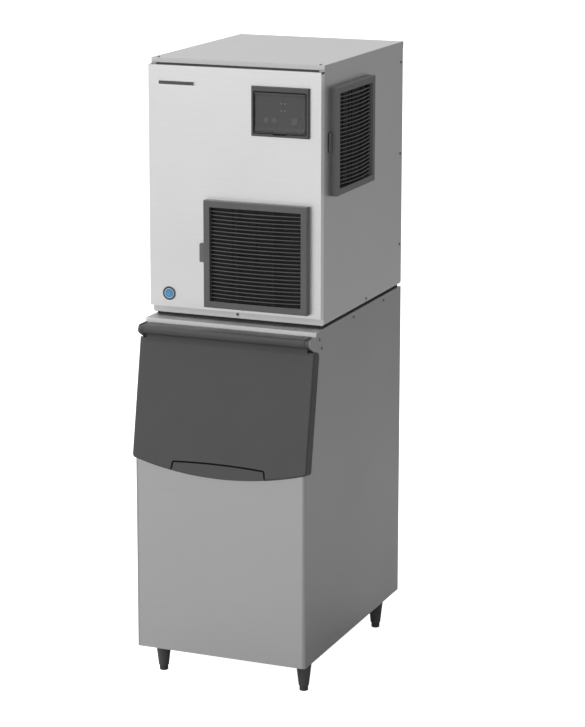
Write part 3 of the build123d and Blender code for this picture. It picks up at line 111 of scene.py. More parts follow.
def shade(colour: Colour, factor: float) -> Colour:
    """Scale a colour's three channels."""
    return (colour[0] * factor, colour[1] * factor, colour[2] * factor, colour[3])


def add_node(tree: bpy.types.NodeTree, kind: str, inputs: dict[str | int, object],
             **settings: object) -> bpy.types.Node:
    """Add a shader node.

    Args:
        tree: Tree that takes it.
        kind: Blender's type name without its prefix.
        inputs: Values, or sockets to link from, by input.
        **settings: Properties of the node.

    Returns:
        The node.
    """
    node = tree.nodes.new("ShaderNode" + kind)
    for label, value in settings.items():
        setattr(node, label, value)
    for label, value in inputs.items():
        if isinstance(value, NodeSocket):
            tree.links.new(value, node.inputs[label])
        else:
            node.inputs[label].default_value = value
    return node


# Shader effects shared by several materials


class Effect:
    """A shader node group with named inputs and outputs, built once."""

    name = "effect"
    inputs: dict[str, tuple[Socket, object]] = {}
    outputs: tuple[str, ...] = ()

    def __init__(self) -> None:
        """Create the group's sockets and its nodes."""
        self.tree = bpy.data.node_groups.new(self.name, "ShaderNodeTree")
        for label, (kind, value) in self.inputs.items():
            socket = self.tree.interface.new_socket(label, in_out="INPUT", socket_type=kind.value)
            socket.default_value = value
        for label in self.outputs:
            self.tree.interface.new_socket(label, in_out="OUTPUT", socket_type=Socket.VALUE.value)
        self.given = self.tree.nodes.new("NodeGroupInput").outputs
        self.results = self.tree.nodes.new("NodeGroupOutput").inputs
        self.wire()

    def wire(self) -> None:
        """Fill the group. Each effect has its own nodes."""

    def result(self, label: str, source: NodeSocket) -> None:
        """Give one of the group's outputs its source."""
        self.tree.links.new(source, self.results[label])

    def noise(self, vector: NodeSocket, scale: float | NodeSocket, detail: float,
              roughness: float = 0.5) -> NodeSocket:
        """Add a noise texture.

        Args:
            vector: Where the noise is read.
            scale: Its scale, or the socket that gives it.
            detail: Number of octaves.
            roughness: Weight of the fine octaves.

        Returns:
            The noise value.
        """
        inputs = {"Vector": vector, "Scale": scale, "Detail": detail, "Roughness": roughness}
        return add_node(self.tree, "TexNoise", inputs).outputs["Fac"]

    def math(self, operation: str, first: object, second: object = 0.0,
             clamp: bool = False) -> NodeSocket:
        """Add a math node.

        Args:
            operation: Blender's operation name.
            first: First value or socket.
            second: Second value or socket.
            clamp: Whether the result stays between 0 and 1.

        Returns:
            The result.
        """
        node = add_node(self.tree, "Math", {0: first, 1: second}, operation=operation, use_clamp=clamp)
        return node.outputs["Value"]


class Brushing(Effect):
    """Fine parallel streaks with broad, soft clouding."""

    name = "brushing"
    inputs = {"Streak Vector": (Socket.VECTOR, NOWHERE), "Vector": (Socket.VECTOR, NOWHERE),
              "Cloud Scale": (Socket.VALUE, 3.0)}
    outputs = ("Streaks", "Cloud")
    coarse_share = 0.65
    fine_scale = 3.1

    def wire(self) -> None:
        """Read one noise along the stretched coordinates and one along the plain ones."""
        coarse = self.noise(self.given["Streak Vector"], 1.0, 4.0, 0.7)
        fine = self.noise(self.given["Streak Vector"], self.fine_scale, 2.0)
        self.result("Streaks", self.math("ADD", self.math("MULTIPLY", coarse, self.coarse_share),
                                         self.math("MULTIPLY", fine, 1.0 - self.coarse_share)))
        self.result("Cloud", self.noise(self.given["Vector"], self.given["Cloud Scale"], 2.0))


class MouldGrain(Effect):
    """The leathery spark-eroded grain of a moulding, with a slow change of tone."""

    name = "mould_grain"
    inputs = {"Vector": (Socket.VECTOR, NOWHERE), "Grain Scale": (Socket.VALUE, 700.0)}
    outputs = ("Height", "Tone")
    cell_share = 0.6
    tone_scale = 7.0

    def wire(self) -> None:
        """Mix cells and noise for the height, and a broad noise for the tone."""
        vector, scale = self.given["Vector"], self.given["Grain Scale"]
        cells = add_node(self.tree, "TexVoronoi", {"Vector": vector, "Scale": scale},
                         feature="SMOOTH_F1")
        fuzz = self.noise(vector, scale, 3.0)
        self.result("Height", self.math(
            "ADD", self.math("MULTIPLY", cells.outputs["Distance"], self.cell_share),
            self.math("MULTIPLY", fuzz, 1.0 - self.cell_share)))
        self.result("Tone", self.noise(vector, self.tone_scale, 3.0))


class RecessShade(Effect):
    """A mask that grows with depth below a flat or bowed face: painted shade in the sheets', bezel's and
    louvres' recesses, and the own darker colour of the controls' face and the filters' mesh.
    """

    name = "recess_shade"
    inputs = {"Vector": (Socket.VECTOR, NOWHERE), "Inward": (Socket.VECTOR, TO_THE_BACK),
              "Start": (Socket.VALUE, 0.0), "Depth": (Socket.VALUE, 0.01),
              "Sideways": (Socket.VECTOR, NOWHERE), "Middle": (Socket.VALUE, 0.0),
              "Bow": (Socket.VALUE, 0.0), "Upwards": (Socket.VECTOR, NOWHERE),
              "Level": (Socket.VALUE, 0.0)}
    outputs = ("Mask",)

    def wire(self) -> None:
        """Measure how far each point lies inward of the bowed start, inside the sides and levels."""
        flat = self.math("SUBTRACT", self.dot("Inward"), self.given["Start"])
        offset = self.math("SUBTRACT", self.dot("Sideways"), self.given["Middle"])
        bulge = self.math("SUBTRACT", 1.0, self.math("MULTIPLY", offset, offset), clamp=True)
        below = self.math("ADD", flat, self.math("MULTIPLY", bulge, self.given["Bow"]))
        share = self.math("DIVIDE", below, self.given["Depth"], clamp=True)
        height = self.math("SUBTRACT", self.dot("Upwards"), self.given["Level"])
        for distance in (offset, height):
            inside = self.math("LESS_THAN", self.math("ABSOLUTE", distance), 1.0)
            share = self.math("MULTIPLY", share, inside)
        self.result("Mask", share)

    def dot(self, direction: str) -> NodeSocket:
        """Project the group's vector on the direction that one of its inputs holds."""
        inputs = {0: self.given["Vector"], 1: self.given[direction]}
        return add_node(self.tree, "VectorMath", inputs, operation="DOT_PRODUCT").outputs["Value"]


class Effects:
    """The three shared effects, built once for all the materials."""

    def __init__(self) -> None:
        """Build the groups."""
        self.brushing = Brushing()
        self.mould_grain = MouldGrain()
        self.recess_shade = RecessShade()


# Finishes


@dataclass(frozen=True)
class Recess:
    """Where a finish darkens behind its outer faces: painted shade for the sheets' top returns, the bezel
    and the louvres' slats, and the own darker colour of the controls' face and the filters' mesh.

    Attributes:
        deep: Colour at the bottom, which is painted shade except in the controls and the filters.
        start: Place of the outer faces, or of the slats' ends, along the inward direction, in metres.
        depth: How far the shade takes to its full strength.
        inward: Direction into the cabinet.
        sideways: Direction along the slats, over half their length.
        middle: Place of their middle along that direction.
        bow: How far the middle stands out from the ends.
        upwards: Direction across the shaded band, over half its height.
        level: Place of the band's middle along that direction.
    """

    deep: Colour
    start: float
    depth: float
    inward: Triple = TO_THE_BACK
    sideways: Triple = NOWHERE
    middle: float = 0.0
    bow: float = 0.0
    upwards: Triple = NOWHERE
    level: float = 0.0


@dataclass(frozen=True)
class SteelLook:
    """Numbers of a brushed steel.

    Attributes:
        colour: Base colour.
        axis: Direction of the brushing.
        roughness: Mean roughness.
        recess: Where painted shade darkens it, if anywhere.
        spread: How much the roughness changes over the sheet.
        depth: Depth of the streaks in metres.
    """

    colour: Colour
    axis: Axis
    roughness: float
    recess: Recess | None = None
    spread: float = 0.06
    depth: float = 0.00002


@dataclass(frozen=True)
class PlasticLook:
    """Numbers of a moulded plastic, rubber, foam or paint.

    Attributes:
        colour: Base colour.
        roughness: Mean roughness.
        grain: Scale of the grain.
        depth: Depth of the grain in metres.
        contrast: How much the tone changes over the surface.
        specular: Specular level.
        alpha: Opacity.
        recess: Where it darkens behind its outer faces, if it does: painted shade in the bezel and the
            louvres, own colour in the controls and the filters.
    """

    colour: Colour
    roughness: float
    grain: float
    depth: float
    contrast: float
    specular: float = 0.5
    alpha: float = 1.0
    recess: Recess | None = None


@dataclass(frozen=True)
class MetalLook:
    """Numbers of a cast, drawn or plated metal.

    Attributes:
        colour: Base colour.
        roughness: Mean roughness.
        patina: Colour of the dull patches.
        metallic: Metallic share.
    """

    colour: Colour
    roughness: float
    patina: Colour
    metallic: float = 1.0


@dataclass(frozen=True)
class BadgeLook:
    """Place of the badge's rings.

    Attributes:
        centre: The badge's middle.
        radius: Its radius in metres.
    """

    centre: Vector
    radius: float


class Finish:
    """One Principled material with helpers for its nodes."""

    def __init__(self, name: str, effects: Effects, look: object) -> None:
        """Create the material.

        Args:
            name: Material name.
            effects: The shared node groups.
            look: The finish's numbers.
        """
        self.effects = effects
        self.material = bpy.data.materials.new(name)
        self.material.use_nodes = True
        self.tree = self.material.node_tree
        self.shader = self.tree.nodes["Principled BSDF"]
        self.object_space = self.tree.nodes.new("ShaderNodeTexCoord").outputs["Object"]
        self.wire(look)

    def wire(self, look: object) -> None:
        """Link the nodes. Each finish has its own."""

    def place(self, effect: Effect, **values: object) -> bpy.types.bpy_prop_collection:
        """Place one of the groups.

        Args:
            effect: The group.
            **values: Its inputs, with underscores for spaces.

        Returns:
            The group's outputs.
        """
        inputs = {"Vector": self.object_space}
        inputs.update({label.replace("_", " "): value for label, value in values.items()})
        return add_node(self.tree, "Group", inputs, node_tree=effect.tree).outputs

    def blend(self, share: NodeSocket, low: Colour | NodeSocket,
              high: Colour) -> NodeSocket:
        """Mix two colours.

        Args:
            share: Mask from 0 to 1.
            low: Colour at 0.
            high: Colour at 1.

        Returns:
            The colour.
        """
        inputs = {"A": low, "B": high, "Factor": share}
        return add_node(self.tree, "Mix", inputs, data_type="RGBA").outputs["Result"]

    def between(self, source: NodeSocket, low: float, high: float, start: float = 0.3,
                end: float = 0.7) -> NodeSocket:
        """Map a texture value to a range.

        Args:
            source: Value to map.
            low: Result at the start.
            high: Result at the end.
            start: Source value that gives the low result.
            end: Source value that gives the high result.

        Returns:
            The mapped value.
        """
        inputs = {"From Min": start, "From Max": end, "To Min": low, "To Max": high, "Value": source}
        return add_node(self.tree, "MapRange", inputs).outputs["Result"]

    def feed(self, socket: str, source: NodeSocket) -> None:
        """Drive one of the shader's inputs."""
        self.tree.links.new(source, self.shader.inputs[socket])

    def set(self, socket: str, value: object) -> None:
        """Set one of the shader's inputs."""
        self.shader.inputs[socket].default_value = value

    def paint(self, tone: NodeSocket, recess: Recess | None) -> None:
        """Drive the base colour.

        Args:
            tone: Colour at the outer faces.
            recess: Where it darkens, if it does; mostly painted shade, see Recess.
        """
        # Behind the outer faces the colour turns to the recess's deep colour, which is mostly painted
        # shade.
        if recess:
            mask = self.place(self.effects.recess_shade, Inward=recess.inward, Start=recess.start,
                              Depth=recess.depth, Sideways=recess.sideways, Middle=recess.middle,
                              Bow=recess.bow, Upwards=recess.upwards, Level=recess.level)
            tone = self.blend(mask["Mask"], tone, recess.deep)
        self.feed("Base Color", tone)

    def emboss(self, height: NodeSocket, depth: float, strength: float = 1.0) -> None:
        """Drive the surface normal by a height.

        Args:
            height: Height socket.
            depth: Depth in metres.
            strength: Share of the effect.
        """
        inputs = {"Distance": depth, "Strength": strength, "Height": height}
        self.feed("Normal", add_node(self.tree, "Bump", inputs).outputs["Normal"])


class BrushedSteel(Finish):
    """Satin steel sheet, brushed along one axis."""

    streaks_along = 5.0
    streaks_across = 1100.0
    cloud_scale = 2.2
    tone_change = 0.05
    streak_strength = 0.5

    def wire(self, look: SteelLook) -> None:
        """Link the nodes.

        Args:
            look: The finish's numbers.
        """
        stretch = [self.streaks_along if part else self.streaks_across for part in look.axis.value]
        mapping = add_node(self.tree, "Mapping", {"Scale": stretch, "Vector": self.object_space})
        brushing = self.place(self.effects.brushing, Cloud_Scale=self.cloud_scale,
                              Streak_Vector=mapping.outputs["Vector"])
        self.set("Metallic", 1.0)
        self.paint(self.blend(self.between(brushing["Streaks"], 0.0, 1.0),
                              shade(look.colour, 1.0 - self.tone_change),
                              shade(look.colour, 1.0 + self.tone_change)), look.recess)
        self.feed("Roughness", self.between(brushing["Cloud"], look.roughness - look.spread / 2,
                                            look.roughness + look.spread / 2))
        self.emboss(brushing["Streaks"], look.depth, self.streak_strength)
        self.material.diffuse_color = look.colour


class MouldedPlastic(Finish):
    """A moulding with a fine grain and a slow change of tone. It also serves rubber, foam and paint."""

    smoother = 0.05
    rougher = 0.06

    def wire(self, look: PlasticLook) -> None:
        """Link the nodes.

        Args:
            look: The finish's numbers.
        """
        grain = self.place(self.effects.mould_grain, Grain_Scale=look.grain)
        self.paint(self.blend(self.between(grain["Tone"], 0.0, 1.0),
                              shade(look.colour, 1.0 - look.contrast),
                              shade(look.colour, 1.0 + look.contrast)), look.recess)
        self.feed("Roughness", self.between(grain["Tone"], look.roughness - self.smoother,
                                            look.roughness + self.rougher))
        self.set("Specular IOR Level", look.specular)
        self.set("Alpha", look.alpha)
        self.emboss(grain["Height"], look.depth)
        self.material.diffuse_color = look.colour


class AgedMetal(Finish):
    """Cast, drawn or plated metal with dull patches."""

    grain_scale = 380.0
    grain_depth = 0.00006
    patches = (0.42, 0.72)
    smoother = 0.06
    rougher = 0.12

    def wire(self, look: MetalLook) -> None:
        """Link the nodes.

        Args:
            look: The finish's numbers.
        """
        grain = self.place(self.effects.mould_grain, Grain_Scale=self.grain_scale)
        patch = self.between(grain["Tone"], 0.0, 1.0, *self.patches)
        self.paint(self.blend(patch, look.colour, look.patina), None)
        self.feed("Roughness", self.between(grain["Tone"], look.roughness - self.smoother,
                                            look.roughness + self.rougher))
        self.set("Metallic", look.metallic)
        self.emboss(grain["Height"], self.grain_depth)
        self.material.diffuse_color = look.colour


class BadgeEnamel(Finish):
    """Glossy enamel in rings about the badge's middle: blue field, pale line, dark rim."""

    rings = ((0.0, (0.06, 0.24, 0.42, 1.0)), (0.62, (0.03, 0.14, 0.30, 1.0)), (0.66, grey(190)),
             (0.69, grey(190)), (0.73, grey(34)), (0.90, grey(30)), (0.93, grey(110)), (1.0, grey(60)))
    grain_scale = 500.0
    roughness = (0.16, 0.3)
    coat = 0.4

    def wire(self, look: BadgeLook) -> None:
        """Link the nodes.

        Args:
            look: Where the badge is.
        """
        vector = self.object_space
        for operation, value in (("SUBTRACT", tuple(look.centre)),
                                 ("MULTIPLY", (1.0 / look.radius, 0.0, 1.0 / look.radius))):
            vector = add_node(self.tree, "VectorMath", {0: vector, 1: value},
                              operation=operation).outputs["Vector"]
        length = add_node(self.tree, "VectorMath", {0: vector}, operation="LENGTH")
        ramp = add_node(self.tree, "ValToRGB", {"Fac": length.outputs["Value"]})
        stops = ramp.color_ramp.elements
        stops[0].position, stops[0].color = self.rings[0]
        stops[1].position, stops[1].color = self.rings[-1]
        for position, colour in self.rings[1:-1]:
            stops.new(position).color = colour
        self.paint(ramp.outputs["Color"], None)
        grain = self.place(self.effects.mould_grain, Grain_Scale=self.grain_scale)
        self.feed("Roughness", self.between(grain["Tone"], *self.roughness))
        self.set("Coat Weight", self.coat)


class Palette:
    """All the finishes, each made once.

    Attributes:
        everywhere: A distance in metres past the whole machine.
        return_drop: How far the front panel's top return lies below its highest edge.
        return_band: Half the height of the painted shade at a top return.
        return_start: Where that painted shade starts behind the outer face.
        return_depth: How far it takes to its full strength.
        plateau: Share of a step's depth that keeps the outer colour.
    """

    everywhere = 100.0
    return_drop = 17.0 * MM
    return_band = 6.0 * MM
    return_start = 0.2 * MM
    return_depth = 0.8 * MM
    plateau = 0.3

    def __init__(self, effects: Effects) -> None:
        """Make the finishes.

        Args:
            effects: The shared node groups.
        """
        self.effects = effects
        self.finishes: dict[str, Finish] = {}
        self._make(BrushedSteel, self._steels())
        self._make(MouldedPlastic, self._plastics())
        self._make(AgedMetal, self._metals())
        self._make(MouldedPlastic, self._louvres())
        low, high = (Vector(corner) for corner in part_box("round_badge"))
        look = BadgeLook((low + high) / 2, (high.x - low.x) / 2)
        self.finishes["badge"] = BadgeEnamel("badge_enamel", effects, look)

    def __getitem__(self, key: str) -> bpy.types.Material:
        """Give the material of a finish."""
        return self.finishes[key].material

    def _make(self, kind: type[Finish], looks: dict[str, object]) -> None:
        """Make a finish of one kind for each look."""
        for key, look in looks.items():
            self.finishes[key] = kind(key, self.effects, look)

    def _steels(self) -> dict[str, SteelLook]:
        """Give the looks of the brushed sheets."""
        # Base colours of one steel differ by face as painted light and shade: brightest on the head's
        # front, darker on its top and sides, darker again on the bin.
        return {
            "head_side_steel": SteelLook(grey(206), Axis.Z, 0.42),
            "head_top_steel": SteelLook(grey(214), Axis.X, 0.36),
            "bin_front_steel": SteelLook(grey(188), Axis.X, 0.38),
            "bin_side_steel": SteelLook(grey(172), Axis.Z, 0.42),
            "pan_steel": SteelLook(grey(214), Axis.X, 0.40),
            "back_steel": SteelLook(grey(196), Axis.Z, 0.50),
            "turned_steel": SteelLook(grey(200), Axis.X, 0.28),
            # The head front's top return gets painted shade under the top's lip; the rail's lip is painted
            # bright and its top gets painted shade under the head.
            "head_front_steel": SteelLook(grey(240), Axis.X, 0.38,
                                          self._painted_return_shade("head_front_panel", self.return_drop, grey(88))),
            "bin_rail_steel": SteelLook(grey(250), Axis.X, 0.5,
                                        self._painted_return_shade("bin_top_rail", 0.0, grey(196))),
        }

    def _painted_return_shade(self, node: str, drop: float, deep: Colour) -> Recess:
        """Paint shade on a sheet's top return, which lies behind its outer face.

        Args:
            node: The sheet.
            drop: How far the return lies below the sheet's highest edge.
            deep: Colour of the painted shade on the return.

        Returns:
            Its recess.
        """
        low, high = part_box(node)
        return Recess(deep, low[1] + self.return_start, self.return_depth,
                      upwards=(0.0, 0.0, 1.0 / self.return_band), level=(high[2] - drop) / self.return_band)

    def _step(self, node: str, depth: float, deep: Colour) -> Recess:
        """Change to another colour behind a node's foremost faces.

        Args:
            node: The node.
            depth: How far the change takes, in metres.
            deep: Colour behind.

        Returns:
            Its recess.
        """
        return Recess(deep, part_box(node)[0][1] + depth * self.plateau, depth * (1.0 - self.plateau))

    def _plastics(self) -> dict[str, PlasticLook]:
        """Give the looks of the mouldings, rubbers and paints."""
        return {
            "door_plastic": PlasticLook(grey(59), 0.50, 620.0, 0.00012, 0.06, 0.35),
            "lid_plastic": PlasticLook(grey(80), 0.26, 500.0, 0.00002, 0.04, 0.5, 0.5),
            "button_plastic": PlasticLook(grey(158), 0.35, 700.0, 0.00003, 0.04),
            "plate_plastic": PlasticLook(grey(60), 0.35, 800.0, 0.00003, 0.06),
            "plate_rim": PlasticLook(grey(226), 0.3, 800.0, 0.00002, 0.03),
            # Dark lines on the lid's edge, and painted shade in the grip's groove.
            "lid_rim_and_groove_shade": PlasticLook(grey(14), 0.7, 500.0, 0.0001, 0.1, 0.1),
            "leg_plastic": PlasticLook(grey(60), 0.42, 500.0, 0.0001, 0.08, 0.4),
            "foot_rubber": PlasticLook(grey(56), 0.6, 420.0, 0.00012, 0.12, 0.3),
            "gasket_rubber": PlasticLook(grey(44), 0.8, 300.0, 0.0002, 0.15, 0.2),
            "gland_nylon": PlasticLook(grey(28), 0.45, 500.0, 0.00006, 0.08),
            "white_moulding": PlasticLook(grey(226, 0.01), 0.38, 260.0, 0.00008, 0.02),
            "cabinet_foam": PlasticLook((0.80, 0.76, 0.62, 1.0), 0.9, 160.0, 0.0009, 0.14, 0.1),
            "black_foam": PlasticLook(grey(24), 0.9, 240.0, 0.0006, 0.2, 0.1),
            "black_enamel": PlasticLook(grey(22), 0.28, 120.0, 0.0001, 0.1),
            "clear_hose": PlasticLook(grey(196), 0.32, 200.0, 0.00004, 0.05),
            "controls_plastic": PlasticLook(grey(245), 0.4, 600.0, 0.00005, 0.04,
                                            recess=self._step("control_face", 1.0 * MM, grey(62))),
            # The bezel's gaps behind its front faces get painted shade.
            "bezel_plastic": PlasticLook(grey(64), 0.42, 700.0, 0.00008, 0.06, 0.4,
                                         recess=self._step("control_bezel", 2.6 * MM, grey(16))),
        }

    @staticmethod
    def _metals() -> dict[str, MetalLook]:
        """Give the looks of the cast, drawn and plated metals."""
        return {
            "screw_steel": MetalLook(grey(118), 0.34, grey(92)),
            "zinc_plate": MetalLook(grey(176), 0.48, grey(150, -0.02), 0.9),
            "drawn_copper": MetalLook((0.74, 0.36, 0.20, 1.0), 0.30, (0.40, 0.18, 0.10, 1.0)),
            "cast_brass": MetalLook((0.70, 0.50, 0.22, 1.0), 0.34, (0.42, 0.28, 0.12, 1.0)),
            "finned_aluminium": MetalLook(grey(196), 0.42, grey(150)),
        }

    def _louvres(self) -> dict[str, PlasticLook]:
        """Give the looks of both louvres, with painted shade between their slats, and their filters, which
        are dark where the mesh is.

        Returns:
            The looks.
        """
        plastic = PlasticLook(grey(76), 0.42, 620.0, 0.0001, 0.05, 0.4)
        mesh = PlasticLook(grey(88), 0.5, 420.0, 0.0002, 0.1, 0.3)
        louvres = IntakeLouvres
        looks = {}
        # The side louvre's plastic gets a lighter base colour than the front's: painted light on the same
        # plastic, which the side gets less of.
        for side, colour, width, along, inward, face in (
                ("front", plastic.colour, louvres.front_width, 0, TO_THE_BACK,
                 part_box("head_front_panel")[0][1]),
                ("side", grey(94), louvres.side_width, 1, TO_THE_LEFT,
                 -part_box("head_right_panel")[1][0])):
            low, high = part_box(side + "_louvre")
            across = width / 2 - louvres.border
            upright = (high[2] - low[2]) / 2 - louvres.border
            sideways = [0.0, 0.0, 0.0]
            sideways[along] = 1.0 / across
            # Painted shade between the slats, growing with depth below their bowed front edges.
            recess = Recess(grey(12), face - louvres.ends_stand, louvres.shade_depth, inward,
                            tuple(sideways), (high[along] - width / 2) / across, louvres.bow,
                            (0.0, 0.0, 1.0 / upright), (low[2] + high[2]) / 2 / upright)
            looks[side + "_louvre_plastic"] = replace(plastic, colour=colour, recess=recess)
            whole = replace(recess, deep=grey(20), start=-self.everywhere, depth=1.0, bow=0.0)
            looks[side + "_filter_plastic"] = replace(mesh, recess=whole)
        return looks


# Meshes


def welded(source: bpy.types.Mesh, flatness: float | None = None) -> BMesh:
    """Copy a CAD mesh with its corners joined.

    Args:
        source: The mesh.
        flatness: Angle under which neighbouring faces merge, if they do.

    Returns:
        The copy.
    """
    mesh = bmesh.new()
    mesh.from_mesh(source)
    bmesh.ops.remove_doubles(mesh, verts=mesh.verts, dist=WELD)
    if flatness is not None:
        bmesh.ops.dissolve_limit(mesh, angle_limit=flatness, verts=mesh.verts, edges=mesh.edges)
    return mesh


def join_loops(mesh: BMesh, lower: list[BMVert], upper: list[BMVert]) -> None:
    """Join two closed loops of vertices by a wall.

    Args:
        mesh: Mesh that takes the faces.
        lower: First loop.
        upper: Second loop.
    """
    for index, vert in enumerate(lower):
        after = (index + 1) % len(lower)
        mesh.faces.new((vert, lower[after], upper[after], upper[index]))


@dataclass(frozen=True)
class FlatRing:
    """A rounded rectangular ring on a face that looks to the front.

    Attributes:
        low: Low corner of the box whose front it lies on.
        high: High corner of that box.
        corner: Outer corner radius.
        width: Width of the ring.
        rise: Height of the ring above the face.
        steps: Facets in a corner.
    """

    low: Vector
    high: Vector
    corner: float
    width: float
    rise: float
    steps: int = 6

    def mesh(self) -> BMesh:
        """Build the ring.

        Returns:
            Its mesh.
        """
        mesh = bmesh.new()
        loops = []
        for inset, lift in ((0.0, 0.0), (0.0, self.rise), (self.width, self.rise), (self.width, 0.0)):
            loops.append([mesh.verts.new(Vector((x, self.low.y - lift, z)))
                          for x, z in self._outline(inset)])
        for inner, outer in zip(loops, loops[1:] + loops[:1]):
            join_loops(mesh, inner, outer)
        bmesh.ops.recalc_face_normals(mesh, faces=mesh.faces)
        return mesh

    def _outline(self, inset: float) -> list[tuple[float, float]]:
        """Trace a rounded rectangle.

        Args:
            inset: How far the trace is brought in.

        Returns:
            Points in x and z.
        """
        middle = (self.low + self.high) / 2
        points = []
        corners = ((self.high.x, self.high.z), (self.low.x, self.high.z), (self.low.x, self.low.z),
                   (self.high.x, self.low.z))
        for quarter, (x, z) in enumerate(corners):
            centre_x = x - math.copysign(self.corner, x - middle.x)
            centre_z = z - math.copysign(self.corner, z - middle.z)
            for step in range(self.steps + 1):
                angle = math.pi / 2 * (quarter + step / self.steps)
                points.append((centre_x + (self.corner - inset) * math.cos(angle),
                               centre_z + (self.corner - inset) * math.sin(angle)))
        return points


@dataclass
class Moulder:
    """Turns bmesh work into pieces that ride on a body.

    Attributes:
        palette: The finishes.
    """

    palette: Palette

    def piece(self, name: str, mesh: BMesh, finish: str, body: str,
              slot: str) -> bpy.types.Object:
        """Make an object and let it ride.

        Args:
            name: The piece's name.
            mesh: Its geometry, which is freed.
            finish: Key of its finish.
            body: The CAD body that it rides on.
            slot: Not used.

        Returns:
            The piece.
        """
        data = bpy.data.meshes.new(name)
        mesh.to_mesh(data)
        mesh.free()
        for polygon in data.polygons:
            polygon.use_smooth = True
        data.materials.append(self.palette[finish])
        made = bpy.data.objects.new(name, data)
        bpy.context.scene.collection.objects.link(made)
        data.set_sharp_from_angle(angle=SHARP)
        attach(made, body)
        LOG.info("%s: %d faces on %s", name, len(data.polygons), body)
        return made


@dataclass
class SubAssembly:
    """A group of CAD nodes and added pieces that belong together.

    Attributes:
        moulder: Makes the added pieces.
        nodes: CAD nodes by name.
        dressing: The finish of each CAD node in the group.
    """

    moulder: Moulder
    nodes: dict[str, bpy.types.Object]
    dressing: ClassVar[dict[str, str]] = {}

    def build(self) -> None:
        """Dress the CAD nodes and add the pieces."""
        for node, finish in self.dressing.items():
            mesh = self.nodes[node].data
            mesh.materials.clear()
            mesh.materials.append(self.moulder.palette[finish])
        self.add_pieces()
        LOG.info("%s: %d nodes dressed", type(self).__name__, len(self.dressing))

    def add_pieces(self) -> None:
        """Add the fine pieces. Some groups have none."""


@dataclass
class SheetPanels(SubAssembly):
    """Cabinet sheets."""

    dressing = {
        "head_front_panel": "head_front_steel", "head_top_panel": "head_top_steel",
        "head_left_panel": "head_side_steel", "head_right_panel": "head_side_steel",
        "head_rear_panel": "back_steel", "head_base_pan": "pan_steel",
        "bin_front_panel": "bin_front_steel", "bin_left_panel": "bin_side_steel",
        "bin_right_panel": "bin_side_steel", "bin_back_panel": "back_steel",
        "bin_top_rail": "bin_rail_steel",
    }


